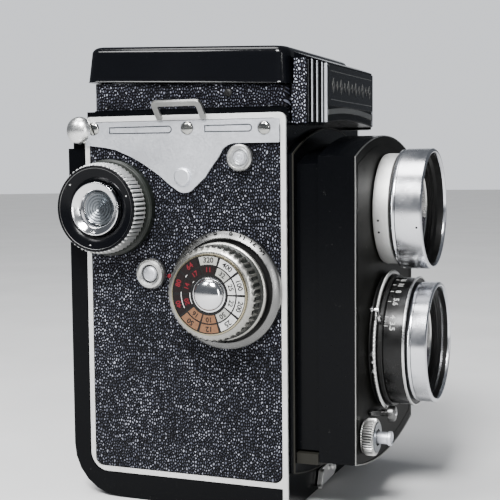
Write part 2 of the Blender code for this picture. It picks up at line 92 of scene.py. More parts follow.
DIRECTIONS = {
    "left": Matrix(((0, 0, -1), (0, 1, 0), (1, 0, 0))),
    "right": Matrix(((0, 0, 1), (0, 1, 0), (-1, 0, 0))),
    "front": Matrix(((1, 0, 0), (0, 0, -1), (0, 1, 0))),
    "back": Matrix(((-1, 0, 0), (0, 0, 1), (0, 1, 0))),
    "side": Matrix(((0, 0, 1), (1, 0, 0), (0, 1, 0))),
    "up": Matrix.Identity(3),
}


# ---------------------------------------------------------------- frame


def low(node):
    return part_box(node)[0] / MM


def high(node):
    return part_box(node)[1] / MM


def middle(node):
    return (low(node) + high(node)) / 2


VIEW_AXIS = middle("viewing_lens_ring")
TAKE_AXIS = middle("taking_lens_ring")
WIND_AXIS = middle("wind_knob_base")
FOCUS_AXIS = middle("focus_scale_ring")
LOCK_AXIS = middle("winding_lock_ring")
FLASH_AXIS = middle("flash_contact_ring")
RELEASE_AXIS = middle("release_collar")
SIDE_LOW, SIDE_HIGH = low("side_trim_left"), high("side_trim_left")
SKIN = -low("side_trim_left").x


# ---------------------------------------------------------------- materials

LEATHER_GRAIN = 1300  # cells in a metre


class Paint:
    """A Principled material whose nodes are laid out by the functions below."""

    def __init__(self, colour, roughness, metallic=0.0, coat=0.0, coat_roughness=0.05):
        self.material = bpy.data.materials.new("look")
        self.material.use_nodes = True
        self.nodes = self.material.node_tree.nodes
        self.links = self.material.node_tree.links
        self.shader = self.nodes["Principled BSDF"]
        self.shader.inputs["Base Color"].default_value = (*colour, 1.0)
        self.shader.inputs["Roughness"].default_value = roughness
        self.shader.inputs["Metallic"].default_value = metallic
        self.shader.inputs["Coat Weight"].default_value = coat
        self.shader.inputs["Coat Roughness"].default_value = coat_roughness
        self.place = self.nodes.new("ShaderNodeTexCoord").outputs["Object"]

    def node(self, kind, sockets):
        """A new node whose sockets hold constants or are linked to other nodes."""
        node = self.nodes.new(kind)
        for socket, value in sockets.items():
            if isinstance(value, bpy.types.NodeSocket):
                self.links.new(value, node.inputs[socket])
            else:
                node.inputs[socket].default_value = value
        return node

    def noise(self, scale, detail=3.0, roughness=0.55):
        sockets = {"Scale": scale, "Detail": detail, "Roughness": roughness, "Vector": self.place}
        return self.node("ShaderNodeTexNoise", sockets).outputs["Fac"]

    def along(self, direction):
        """How far a point lies along a direction."""
        node = self.node("ShaderNodeVectorMath", {0: self.place, 1: direction})
        node.operation = "DOT_PRODUCT"
        return node.outputs["Value"]

    def ranged(self, source, a, b, c, d):
        """The source's range a to b stretched to c to d."""
        sockets = {"Value": source, "From Min": a, "From Max": b, "To Min": c, "To Max": d}
        return self.node("ShaderNodeMapRange", sockets).outputs["Result"]

    def maths(self, operation, first, second):
        node = self.node("ShaderNodeMath", {0: first, 1: second})
        node.operation = operation
        return node.outputs["Value"]

    def ramp(self, source, stops):
        node = self.node("ShaderNodeValToRGB", {"Fac": source})
        steps = node.color_ramp.elements
        while len(steps) < len(stops):
            steps.new(0.5)
        for step, (place, colour) in zip(steps, stops):
            step.position = place
            step.color = (*colour, 1.0)
        return node.outputs["Color"]

    def colour(self, source):
        self.links.new(source, self.shader.inputs["Base Color"])

    def roughness(self, source):
        self.links.new(source, self.shader.inputs["Roughness"])

    def bump(self, source, distance, strength=1.0):
        node = self.node("ShaderNodeBump", {"Distance": distance, "Strength": strength, "Height": source})
        self.links.new(node.outputs["Normal"], self.shader.inputs["Normal"])


def enamel(tint, roughness, wear_and_glint, gloss=0.22, coat=0.15):
    """Stoved black enamel: faint orange peel, dust in the dull patches, fine rubbed specks."""
    paint = Paint(tint, roughness, 0.0, coat, 0.08)
    paint.shader.inputs["Specular IOR Level"].default_value = gloss
    cloud = paint.noise(35, 4)
    specks = paint.noise(1500, 2)
    dull = paint.maths("ADD", paint.ranged(cloud, 0.35, 0.7, 0.0, 0.07),
                       paint.ranged(specks, 0.66, 0.78, 0.0, 0.15))
    paint.roughness(paint.maths("ADD", dull, roughness))
    rub = paint.ranged(paint.noise(420, 6, 0.75), 0.66, 0.74, 0.0, wear_and_glint)
    paint.colour(paint.ramp(rub, [(0.0, tint), (1.0, (0.33, 0.33, 0.31))]))
    paint.bump(paint.noise(900, 2), 0.00002, 0.6)
    return paint.material


def leather(gain):
    """Pebbled leatherette: small raised grains, with painted shade in the gaps and painted glints on the tops
    of some of them.
    """
    paint = Paint((0.012, 0.012, 0.013), 0.35)
    flat = paint.node("ShaderNodeCombineXYZ", {"X": paint.along((1, 1, 0)), "Y": paint.along((0.6, 0, 0.75))})
    sockets = {"Scale": LEATHER_GRAIN, "Vector": flat.outputs["Vector"]}
    edges = paint.node("ShaderNodeTexVoronoi", sockets)
    edges.feature = "DISTANCE_TO_EDGE"
    edges.voronoi_dimensions = "2D"
    grain = paint.node("ShaderNodeTexVoronoi", sockets)
    grain.voronoi_dimensions = "2D"
    gap = edges.outputs["Distance"]
    lot = paint.node("ShaderNodeSeparateColor", {"Color": grain.outputs["Color"]})
    height = paint.ranged(gap, 0.0, 0.3, 0.0, 1.0)
    paint.bump(height, 0.00035, 0.9)
    # Painted highlight: the grain tops are coloured lighter, on some cells and in broad patches more than
    # others, as glints; gain makes them brighter still.
    top = paint.ranged(gap, 0.1, 0.36, 0.0, 1.0)
    wear_and_glint = paint.ranged(paint.noise(60, 3), 0.35, 0.65, 0.8 * gain, gain)
    share = paint.ranged(lot.outputs["Red"], 0.0, 1.0, 0.45, 1.0)
    shine = paint.maths("MULTIPLY", paint.maths("MULTIPLY", top, share), wear_and_glint)
    # The colour runs from painted shade in the gaps to painted glints on the grain tops.
    paint.colour(paint.ramp(shine, [(0.0, (0.0008, 0.0008, 0.0014)), (0.3, (0.006, 0.0065, 0.0105)),
                                    (0.62, (0.06, 0.064, 0.084)), (1.0, (0.4, 0.41, 0.47))]))
    paint.roughness(paint.ranged(shine, 0.0, 1.0, 0.6, 0.25))
    paint.shader.inputs["Specular IOR Level"].default_value = 0.12
    return paint.material


def satin(colour, roughness, stain=0.84, patch=60):
    """Bead blasted silver: fine grain, handling marks and slight grey stains."""
    paint = Paint(colour, roughness, 1.0)
    stains = paint.noise(patch, 5, 0.65)
    dark = tuple(stain * c for c in colour)
    paint.colour(paint.ramp(stains, [(0.35, dark), (0.62, colour)]))
    fine = paint.noise(2400, 2, 0.6)
    paint.roughness(paint.maths("ADD", paint.ranged(fine, 0.3, 0.7, roughness - 0.06, roughness + 0.1),
                                paint.ranged(stains, 0.35, 0.6, 0.08, 0.0)))
    paint.bump(fine, 0.000012, 0.25)
    return paint.material


def chrome(colour, roughness):
    """Bright plating with finger smears and a few pits."""
    paint = Paint(colour, roughness, 1.0)
    smear = paint.noise(90, 5, 0.6)
    pits = paint.noise(1300, 3, 0.7)
    paint.roughness(paint.maths("ADD", paint.ranged(smear, 0.4, 0.7, roughness, roughness + 0.14),
                                paint.ranged(pits, 0.68, 0.76, 0.0, 0.35)))
    paint.colour(paint.ramp(pits, [(0.68, colour), (0.78, (0.3, 0.3, 0.29))]))
    paint.bump(paint.noise(300, 2), 0.00001, 0.12)
    return paint.material


def flat_black(colour, roughness):
    """Blackened metal, worn grey in places."""
    paint = Paint(colour, roughness)
    paint.shader.inputs["Specular IOR Level"].default_value = 0.3
    cloud = paint.noise(180, 4)
    paint.roughness(paint.ranged(cloud, 0.3, 0.7, roughness - 0.1, roughness + 0.12))
    paint.colour(paint.ramp(paint.noise(900, 5, 0.7), [(0.64, colour), (0.8, (0.06, 0.06, 0.055))]))
    paint.bump(paint.noise(1800, 2), 0.00002, 0.6)
    return paint.material


def filling(colour, roughness=0.5):
    """Engraver's enamel in numbers, lines and dial fields."""
    paint = Paint(colour, roughness)
    paint.shader.inputs["Specular IOR Level"].default_value = 0.15
    dirty = tuple(0.75 * c for c in colour)
    paint.colour(paint.ramp(paint.noise(1400, 4, 0.7), [(0.32, dirty), (0.5, colour)]))
    paint.bump(paint.noise(2500, 2), 0.00002, 0.5)
    return paint.material


def coated_glass():
    paint = Paint((0.02, 0.018, 0.03), 0.02, 0.0, 1.0, 0.01)
    paint.shader.inputs["IOR"].default_value = 1.6
    paint.colour(paint.ramp(paint.noise(40, 2), [(0.3, (0.010, 0.008, 0.02)), (0.7, (0.03, 0.018, 0.05))]))
    return paint.material


def ground_screen():
    paint = Paint((0.55, 0.57, 0.56), 0.5)
    paint.colour(paint.ramp(paint.noise(900, 3), [(0.3, (0.5, 0.52, 0.51)), (0.7, (0.6, 0.62, 0.61))]))
    paint.bump(paint.noise(3000, 2), 0.00002, 0.5)
    return paint.material


def clear_glass():
    paint = Paint((0.9, 0.93, 0.93), 0.03)
    paint.shader.inputs["Transmission Weight"].default_value = 1.0
    paint.shader.inputs["IOR"].default_value = 1.5
    paint.roughness(paint.ranged(paint.noise(200, 3), 0.4, 0.7, 0.02, 0.08))
    return paint.material


LOOKS = {
    "enamel": enamel((0.0015, 0.0017, 0.0022), 0.18, 0.1, 0.07, 0.01),
    "gloss_enamel": enamel((0.002, 0.0022, 0.003), 0.12, 0.05),
    "knob_enamel": enamel((0.002, 0.0022, 0.003), 0.2, 0.05, 0.1, 0.02),
    "plate_enamel": enamel((0.004, 0.004, 0.0034), 0.42, 0.3, 0.04, 0.0),
    # A lighter grey copy of the black enamel, as painted light on the collar's shelf and edge.
    "lit_grey_enamel": enamel((0.016, 0.0155, 0.013), 0.4, 0.2, 0.1, 0.0),
    "leather": leather(1.0),
    # A copy of the leather with brighter painted glints, as painted light on the brow strips.
    "brighter_lit_leather": leather(1.35),
    "satin": satin((0.58, 0.58, 0.565), 0.3),
    "plate_silver": satin((0.84, 0.86, 0.91), 0.42, 0.62, 45),
    "trim_silver": satin((0.78, 0.78, 0.77), 0.26),
    "worn_metal": satin((0.3, 0.3, 0.29), 0.32),
    # Dark metal; in the strap plates' grooves it is painted shade.
    "dark_metal_and_groove_shade": satin((0.16, 0.175, 0.19), 0.25),
    "bright_satin": satin((0.9, 0.9, 0.885), 0.5),
    "ring_chrome": chrome((0.68, 0.69, 0.72), 0.17),
    "ring_satin": satin((0.17, 0.17, 0.168), 0.28),
    # A darker copy of the satin metal, as painted shade on the focus knob's rim.
    "shaded_knob_satin": satin((0.36, 0.355, 0.33), 0.28),
    "chrome": chrome((0.72, 0.72, 0.73), 0.07),
    "dull_chrome": chrome((0.62, 0.62, 0.6), 0.2),
    "black": flat_black((0.005, 0.005, 0.005), 0.42),
    "green_black": flat_black((0.008, 0.01, 0.008), 0.4),
    "dial": flat_black((0.002, 0.002, 0.002), 0.28),
    "white": filling((0.5, 0.5, 0.49)),
    "cream": filling((0.3, 0.3, 0.28)),
    "orange": filling((0.16, 0.08, 0.043)),
    "dark_red": filling((0.008, 0.005, 0.005)),
    "red": filling((0.13, 0.01, 0.016)),
    "ink": filling((0.012, 0.012, 0.012)),
    "glass": coated_glass(),
    "screen": ground_screen(),
    "clear": clear_glass(),
    "mirror": chrome((0.85, 0.85, 0.86), 0.02),
    "brass": satin((0.36, 0.32, 0.22), 0.25),
    "screw_metal": chrome((0.4, 0.4, 0.38), 0.12),
}
for key, material in LOOKS.items():
    material.name = key


# ---------------------------------------------------------------- pieces


def placed(mesh, direction, centre):
    mesh.transform(Matrix.Translation(Vector(centre)) @ DIRECTIONS[direction].to_4x4())
    return mesh


def mesh_of(work, name):
    """The finished bmesh as a mesh."""
    mesh = bpy.data.meshes.new(name)
    work.to_mesh(mesh)
    work.free()
    return mesh


def lathe_mesh(profile, direction, centre, steps=96, teeth=0):
    """Turns (radius, height, bite) points; each tooth cuts up to bite off the radius.

    A profile that starts off the axis is closed to a ring.
    """
    work = bmesh.new()
    columns = []
    hubs = {}
    for i in range(steps):
        angle = 2 * math.pi * i / steps
        wave = 0.5 - 0.5 * math.cos(angle * teeth)
        column = []
        for index, (radius, height, *bite) in enumerate(profile):
            radius -= sum(bite) * wave
            if radius <= 1e-9:
                if index not in hubs:
                    hubs[index] = work.verts.new((0, 0, height))
                column.append(hubs[index])
            else:
                column.append(work.verts.new((radius * math.cos(angle), radius * math.sin(angle), height)))
        columns.append(column)
    pairs = list(zip(range(len(profile)), range(1, len(profile))))
    if profile[0][0] > 0:
        pairs.append((len(profile) - 1, 0))
    for here, there in zip(columns, columns[1:] + columns[:1]):
        for a, b in pairs:
            corners = list(dict.fromkeys((here[a], here[b], there[b], there[a])))
            if len(corners) > 2:
                work.faces.new(corners)
    bmesh.ops.recalc_face_normals(work, faces=work.faces)
    return placed(mesh_of(work, "lathe"), direction, centre)


def lathe(name, profile, direction, centre, look, body, replaces=(), steps=96, teeth=0, edge=0.0, sharp=32):
    """A turned piece."""
    mesh = lathe_mesh(profile, direction, centre, steps, teeth)
    piece(name, mesh, look, body, replaces, edge, sharp)


def solid_of(obj):
    """The evaluated mesh of a helper object, which is then removed."""
    bpy.context.scene.collection.objects.link(obj)
    bpy.context.view_layer.update()
    mesh = bpy.data.meshes.new_from_object(obj.evaluated_get(bpy.context.evaluated_depsgraph_get()))
    bpy.data.objects.remove(obj, do_unlink=True)
    work = bmesh.new()
    work.from_mesh(mesh)
    bmesh.ops.remove_doubles(work, verts=work.verts, dist=1e-4)
    bmesh.ops.recalc_face_normals(work, faces=work.faces)
    work.to_mesh(mesh)
    work.free()
    return mesh


def slab_mesh(outlines, direction, bottom, top, centre=(0, 0, 0)):
    """A flat plate between two levels; outlines inside the first are holes."""
    curve = bpy.data.curves.new("outline", "CURVE")
    curve.dimensions = "2D"
    curve.fill_mode = "BOTH"
    curve.extrude = (top - bottom) / 2
    for outline in outlines:
        spline = curve.splines.new("POLY")
        spline.points.add(len(outline) - 1)
        for point, (u, v) in zip(spline.points, outline):
            point.co = (u, v, 0, 1)
        spline.use_cyclic_u = True
    mesh = solid_of(bpy.data.objects.new("outline", curve))
    mesh.transform(Matrix.Translation((0, 0, (top + bottom) / 2)))
    return placed(mesh, direction, centre)


def slab(name, outlines, direction, bottom, top, look, body, replaces=(), edge=0.0, sharp=32, segments=2):
    """A flat piece."""
    mesh = slab_mesh(outlines, direction, bottom, top)
    piece(name, mesh, look, body, replaces, edge, sharp, segments)


def box_mesh(lowest, highest):
    work = bmesh.new()
    bmesh.ops.create_cube(work, size=1)
    mesh = mesh_of(work, "box")
    lowest, highest = Vector(lowest), Vector(highest)
    mesh.transform(Matrix.Diagonal((*(highest - lowest), 1)))
    mesh.transform(Matrix.Translation((lowest + highest) / 2))
    return mesh


def lofted(outlines):
    """A closed body through equal loops of points, each above the one before."""
    work = bmesh.new()
    loops = [[work.verts.new(point) for point in outline] for outline in outlines]
    for lower, upper in zip(loops, loops[1:]):
        for i, corner in enumerate(lower):
            j = (i + 1) % len(lower)
            work.faces.new((corner, lower[j], upper[j], upper[i]))
    work.faces.new(list(reversed(loops[0])))
    work.faces.new(loops[-1])
    bmesh.ops.recalc_face_normals(work, faces=work.faces)
    return mesh_of(work, "loft")


def merged(meshes):
    """Several meshes as one."""
    work = bmesh.new()
    for mesh in meshes:
        work.from_mesh(mesh)
        bpy.data.meshes.remove(mesh)
    return mesh_of(work, "merged")


def cut(base, *tools):
    """The mesh with each tool mesh taken off it."""
    obj = bpy.data.objects.new("base", base)
    helpers = []
    for tool in tools:
        helper = bpy.data.objects.new("tool", tool)
        bpy.context.scene.collection.objects.link(helper)
        step = obj.modifiers.new("cut", "BOOLEAN")
        step.operation = "DIFFERENCE"
        step.solver = "EXACT"
        step.object = helper
        helpers.append(helper)
    mesh = solid_of(obj)
    for helper in helpers:
        bpy.data.objects.remove(helper, do_unlink=True)
    return mesh


def piece(name, mesh, look, body, replaces=(), edge=0.0, sharp=32, segments=2):
    """A mesh made in millimetres as a named piece, with its edges and its look, hung on its body."""
    mesh.transform(Matrix.Diagonal((MM, MM, MM, 1)))
    mesh.shade_smooth()
    mesh.set_sharp_from_angle(angle=math.radians(sharp))
    mesh.materials.clear()
    mesh.materials.append(LOOKS[look])
    obj = bpy.data.objects.new(name, mesh)
    if edge:
        bevel = obj.modifiers.new("edges", "BEVEL")
        bevel.width = edge * MM
        bevel.segments = segments
        bevel.limit_method = "ANGLE"
        bevel.angle_limit = math.radians(sharp)
        bevel.harden_normals = True
    bpy.context.scene.collection.objects.link(obj)
    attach(obj, body)
    if replaces:
        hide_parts(*replaces)


def repaint(node, look):
    """Gives a solid of the frame that stays in sight its look."""
    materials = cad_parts[node].data.materials
    materials.clear()
    materials.append(LOOKS[look])


def glyph(text, size, matrix):
    """A number as a thin solid, drawn in the XY plane of the given matrix."""
    font = bpy.data.curves.new("glyph", "FONT")
    font.body = text
    font.size = size
    font.extrude = 0.03
    font.offset = 0.02 * size
    font.align_x = "CENTER"
    font.align_y = "CENTER"
    font.resolution_u = 3
    mesh = solid_of(bpy.data.objects.new("glyph", font))
    mesh.transform(matrix)
    return mesh


def arc(centre, radius, start, end, count):
    """Points on a circle between two angles in degrees."""
    points = []
    for i in range(count + 1):
        angle = math.radians(start + (end - start) * i / count)
        points.append((centre[0] + radius * math.cos(angle), centre[1] + radius * math.sin(angle)))
    return points


def circle(centre, radius, count=59):
    """A round outline whose first point isn't repeated."""
    return arc(centre, radius, 0, 360 * count / (count + 1), count)


def rounded(lowest, highest, radius, count=8):
    """A rectangle with round corners."""
    left, bottom = lowest[0] + radius, lowest[1] + radius
    right, top = highest[0] - radius, highest[1] - radius
    line = []
    for i, corner in enumerate(((right, top), (left, top), (left, bottom), (right, bottom))):
        line += arc(corner, radius, 90 * i, 90 * i + 90, count)
    return line


def footprint(lowest, highest, inset, radius):
    """The rounded outline of a box seen from above, drawn in by an inset."""
    return rounded((lowest.x + inset, lowest.y + inset), (highest.x - inset, highest.y - inset), radius)


def arched(half, bottom, top, rise_low, rise_high, count=32):
    """An upright plate whose lower and upper ends are shallow arches."""
    line = []
    for i in range(count + 1):
        x = half - 2 * half * i / count
        line.append((x, top + rise_high * (1 - (x / half) ** 2)))
    for i in range(count + 1):
        x = -half + 2 * half * i / count
        line.append((x, bottom - rise_low * (1 - (x / half) ** 2)))
    return line


# ---------------------------------------------------------------- body and skins


def side_outline():
    """The silver frame's outer line, with the leg that runs down the front edge."""
    front, rear, top = SIDE_LOW.y, SIDE_HIGH.y, SIDE_HIGH.z
    line = arc((rear - 6, SILL + 6), 6, 270, 360, 8)
    line += arc((rear - 2, top - 2), 2, 0, 90, 4)
    line += arc((front + 2, top - 2), 2, 90, 180, 4)
    return line + [(front, SIDE_LOW.z), (front + TRIM, SIDE_LOW.z), (front + TRIM, SILL)]


def panel_outline():
    """The frame's inner line, kept just clear of the leg."""
    line = rounded((SIDE_LOW.y + TRIM, SILL + TRIM), (SIDE_HIGH.y - TRIM, SIDE_HIGH.z - TRIM), 2.7)
    return [(max(y, SIDE_LOW.y + TRIM + 0.01), z) for y, z in line]


def build_skins():
    for side, sign in SIDES:
        level = sign * (SKIN - 0.45)
        outlines = [side_outline(), panel_outline()]
        slab(f"trim_{side}", outlines, "side", level - 0.45, level + 0.5, "bright_satin", "body",
             (f"side_trim_{side}",), 0.18)
        repaint(f"side_panel_{side}", "leather")


def strap_plate_outline():
    """A straight band with a round-tipped drop, steeper towards the lenses."""
    top, bottom = high("strap_plate_left").z, 111.6
    rear, front = high("strap_plate_left").y, low("strap_plate_left").y
    line = [(rear, top), (rear, bottom), (24.6, 110.8), (20.6, 110.0), (15.3, 107.8), (11.3, 105.7)]
    line += [(5.8, 102.1), (2.4, 99.3)]
    line += arc((-2.6, 101.2), 4.4, -50, -140, 8)
    line += [(-9.6, 101.6), (-11.3, 104.1), (-14, 107.5)]
    line += arc((-19.6, 105.6), 6.0, 45, 95, 5)
    line += [(-22.9, bottom), (front, bottom), (front, top)]
    return line


def lozenge(y_low, y_high, z, half):
    """A long slot with a square end to the rear and a round one to the front."""
    nose = arc((y_low + half, z), half, 90, 270, 9)
    return nose + [(y_high, z - half * 0.9), (y_high, z + half * 0.9)]


def slotted_head(centre, radius, height, direction, angle):
    """A low domed screw head with a sawn slot."""
    shape = ((0, 1), (0.55, 0.93), (0.86, 0.68), (1, 0.3), (1, 0), (0, 0))
    head = lathe_mesh([(radius * r, height * h) for r, h in shape], "up", (0, 0, 0), 40)
    half_width = radius * 0.15
    slot_mesh = box_mesh((-radius * 1.2, -half_width, height * 0.3), (radius * 1.2, half_width, height * 2))
    slot_mesh.transform(Matrix.Rotation(math.radians(angle), 4, "Z"))
    return placed(cut(head, slot_mesh), direction, centre)


def band_grooves(inset, bottom, top):
    """The two long grooves in a strap plate, narrowed by an inset."""
    z = high("strap_plate_left").z - 2.6
    grooves = []
    for y_low, y_high in ((1.3, 22.9), (-24.9, -9.4)):
        outer = lozenge(y_low + inset, y_high - inset, z, 1.2 - inset)
        inner = lozenge(y_low + 0.4 - inset, y_high - 0.4 + inset, z, 0.8 + inset)
        grooves.append(slab_mesh([outer, inner], "side", bottom, top))
    return grooves


def build_strap_plates():
    face = high("strap_plate_right").x
    countersink = [(0, 1), (2.15, 1), (2.15, -0.35), (0, -0.35)]
    for side, sign in SIDES:
        plate = slab_mesh([strap_plate_outline()], "side", face - 0.8, face)
        holes = []
        for label in ("front", "middle", "rear"):
            spot = middle(f"plate_screw_{label}")
            holes.append(lathe_mesh(countersink, "right", (face, spot.y, spot.z), 40))
        plate = cut(plate, *band_grooves(0, face - 0.5, face + 0.2), *holes)
        if side == "left":
            plate.transform(Matrix.Diagonal((-1, 1, 1, 1)))
            plate.flip_normals()
        # Painted shade: dark metal strips laid in the bottoms of the grooves.
        floor = sign * (face - 0.33)
        shades = band_grooves(0.05, floor - 0.1, floor + 0.1)
        piece(f"plate_groove_shade_{side}", merged(shades), "dark_metal_and_groove_shade", "body")
        piece(f"plate_{side}", plate, "plate_silver", "body", (f"strap_plate_{side}",), 0.12)
    for label, angle in (("front", 82), ("middle", 88), ("rear", 20)):
        node = f"plate_screw_{label}"
        at = middle(node)
        head = slotted_head((-face + 0.3, at.y, at.z), 2.0, 0.85, "left", angle)
        piece(f"screw_{label}", head, "screw_metal", "body", (node,), 0.06)
        twin = slotted_head((face - 0.3, at.y, at.z), 1.9, 0.85, "right", angle + 30)
        piece(f"screw_{label}_right", twin, "screw_metal", "body", (), 0.06)
    at = middle("plate_rivet")
    head = [(0, 1.0), (2.2, 1.0), (2.6, 0.75), (2.75, 0.4), (2.75, 0), (0, 0)]
    lathe("rivet", head, "left", (-face, at.y, at.z), "plate_silver", "body", ("plate_rivet",), 48, edge=0.05)


def build_hinge():
    pin = middle("hinge_pin")
    end = high("hinge_pin").x
    dome = [(0, end)]
    for angle in range(12, 85, 12):
        a = math.radians(angle)
        dome.append((4.3 * math.sin(a), end - 2.9 * (1 - math.cos(a))))
    dome += [(4.3, end - 3.0), (4.0, end - 3.3), (1.7, end - 3.3), (1.7, 30), (0, 30)]
    for side in ("left", "right"):
        lathe(f"hinge_dome_{side}", dome, side, (0, pin.y, pin.z), "trim_silver", "body",
              ("hinge_pin",) if side == "left" else (), 64)


def build_lugs():
    """Open brackets that swing on the sides, leaning out at rest."""
    foot, top, bar = -0.85, 6.2, 1.9
    for side, sign in SIDES:
        node = f"strap_lug_{side}"
        half = (high(node).y - low(node).y) / 2
        centre = middle(node).y
        outside = [(half, foot), (half, top - 1.2), (half - 0.5, top - 0.3), (half - 1.4, top)]
        inside = [(half - 2.3, top - 1.8), (half - bar, top - 2.3), (half - bar, foot)]
        right = outside + [(-y, z) for y, z in reversed(outside)]
        line = right + [(-y, z) for y, z in reversed(inside)] + inside
        lug = slab_mesh([line], "side", -0.6, 0.6, (0, centre, 0))
        lean = Matrix.Rotation(math.radians(sign * 42), 4, "Y")
        lug.transform(Matrix.Translation((sign * 39.8, 0, 119.75)) @ lean)
        piece(f"lug_{side}", lug, "worn_metal", f"lug_{side}", (node,), 0.3)


# ---------------------------------------------------------------- knobs


def build_wind_knob():
    at = (0, WIND_AXIS.y, WIND_AXIS.z)
    base = [(2.2, 41.1), (14.3, 41.1), (15.0, 40.4), (15.0, SIDE_SEAT), (2.2, SIDE_SEAT)]
    lathe("wind_base", base, "left", at, "green_black", "body", ("wind_knob_base",), 96, edge=0.15)
    rim = [(0, 44.8), (9, 44.8), (9, 47.5), (12.9, 47.6), (13.15, 48.5, 0.1), (13.6, 48.2, 0.6),
           (13.95, 47.4, 1.1), (14.0, 42.6, 1.1), (13.4, 41.6, 0.3), (2, 41.5), (2, BOSS_END), (0, BOSS_END)]
    # The teeth take the brightest silver, a lighter copy of the knob metal, as painted light.
    lathe("wind_rim", rim, "left", at, "bright_satin", "wind_knob", ("wind_knob_rim",), 6 * WIND_TEETH,
          teeth=WIND_TEETH, sharp=50)
    # Painted shade: a dark ring that shows between the teeth.
    gaps = [(12.6, 47.4), (13.25, 47.4), (13.25, 42.2), (12.6, 42.2)]
    lathe("wind_gap_shade", gaps, "left", at, "green_black", "wind_knob", (), 128)
    face = [(8.4, 47.2), (9.0, 48.0), (10.4, 48.6), (12.3, 48.9), (12.9, 49.15), (13.2, 48.9), (13.2, 48.2),
            (9.2, 47.7), (8.9, 46), (8.4, 46)]
    lathe("wind_face", face, "left", at, "knob_enamel", "wind_knob", ("wind_knob_cap",), 128, edge=0.05)
    line = [(12.3, 48.95), (12.42, 49.0), (12.42, 48.7), (12.3, 48.7)]
    lathe("wind_line", line, "left", at, "ring_satin", "wind_knob", (), 128)
    centre = [(0, 46.6), (5.0, 46.6), (5.3, 46.9), (5.6, 48.0), (6.1, 48.5), (7.3, 49.1), (7.8, 49.5),
              (8.1, 49.4), (8.3, 48.6), (8.3, 45), (0, 45)]
    lathe("wind_centre", centre, "left", at, "chrome", "wind_knob", ("wind_knob_centre",), 96, edge=0.08)
    rings = []
    for i in range(5):
        r = 0.5 + 0.9 * i
        ridge = [(r, 46.7), (r + 0.45, 47.0), (r + 0.5, 46.7), (r + 0.25, 46.5)]
        rings.append(lathe_mesh(ridge, "left", at, 64))
    disc = lathe_mesh([(0, 46.64), (5.25, 46.62), (5.25, 46.4), (0, 46.4)], "left", at, 96)
    piece("wind_centre_rings", merged(rings + [disc]), "dark_metal_and_groove_shade", "wind_knob")
    dots = []
    for y, z in arc((at[1], at[2]), 11.3, 40, 280, 2):
        dots.append(lathe_mesh([(0, 48.95), (0.2, 48.9), (0.24, 48.6), (0, 48.6)], "left", (0, y, z), 20))
    piece("wind_marks", merged(dots), "white", "wind_knob")


def on_side(y, z, x, turn):
    """The matrix of text that lies on the winding side, read from outside."""
    facing = Matrix(((0, 0, -1, 0), (-1, 0, 0, 0), (0, 1, 0, 0), (0, 0, 0, 1)))
    return Matrix.Translation((-x, y, z)) @ facing @ Matrix.Rotation(math.radians(turn), 4, "Z")


def on_ring(at, radius, level, angle):
    """The matrix of text standing on a ring round an axis; 0 degrees points to the lenses, 90 degrees up."""
    a = math.radians(angle)
    return on_side(at[1] - radius * math.cos(a), at[2] + radius * math.sin(a), level, angle - 90)


def sector(inner, outer, start, end, count=5):
    """A ring segment's outline; angles in degrees."""
    return arc((0, 0), outer, start, end, count) + arc((0, 0), inner, end, start, count)


def face_sector(at, inner, outer, start, end, bottom, top):
    """A raised ring segment on the winding side; 0 degrees points to the lenses, 90 degrees up."""
    line = [(at[1] - u, at[2] + v) for u, v in sector(inner, outer, start, end)]
    return slab_mesh([line], "side", -top, -bottom)


def build_dial_cells(at):
    """Two rings of ten film speed fields: silver and white above, orange below, red figures on black."""
    fields = {"white": [], "cream": [], "orange": [], "dark": []}
    figures = {"ink": [], "red": []}
    looks = ("white", "white", "cream", "dark", "dark", "dark", "orange", "orange", "white", "white")
    speeds = ("100", "400", "320", "64", "80", "40", "50", "12", "25", "200")
    inner_looks = ("white", "cream", "dark", "dark", "dark", "dark", "orange", "orange", "cream", "white")
    inner_speeds = ("25", "32", "11", "17", "14", "20", "16", "10", "50", "22")
    rows = ((8.85, 11.25, looks, speeds, 2.2), (6.1, 8.4, inner_looks, inner_speeds, 2.0))
    for inner, outer, row_looks, row_speeds, size in rows:
        radius = (inner + outer) / 2
        for i, (look, text) in enumerate(zip(row_looks, row_speeds)):
            fields[look].append(face_sector(at, inner, outer, 36 * i + 2, 36 * i + 34, 51.35, 51.53))
            ink = "red" if look == "dark" else "ink"
            figures[ink].append(glyph(text, size, on_ring(at, radius, 51.56, 36 * i + 18)))
    ticks = []
    for start, end in ((176, 208), (140, 146)):
        for radius in (5.9, 8.7):
            ticks.append(face_sector(at, radius, radius + 0.2, start, end, 51.4, 51.57))
    for name, meshes, look in (
        ("dial_white", fields["white"], "white"), ("dial_cream", fields["cream"], "cream"),
        ("dial_orange", fields["orange"], "orange"), ("dial_dark", fields["dark"], "dark_red"),
        ("dial_ticks", ticks, "white"), ("dial_numbers", figures["ink"], "ink"),
        ("dial_red_numbers", figures["red"], "red"),
    ):
        piece(name, merged(meshes), look, "film_dial")


def scale_marks(at):
    """Depth of field figures on the scale ring, the same ones on both sides of its top."""
    marks = []
    for text, offset in (("22", 46), ("16", 33.5), ("11", 21), ("8", 8.5)):
        for angle in (90 - offset, 90 + offset):
            marks.append(glyph(text, 2.7, on_ring(at, 16.75, 40.56, angle)))
            tick = box_mesh((-0.08, -0.28, -0.03), (0.08, 0.28, 0.03))
            tick.transform(on_ring(at, 15.9, 40.95, angle))
            marks.append(tick)
    return marks


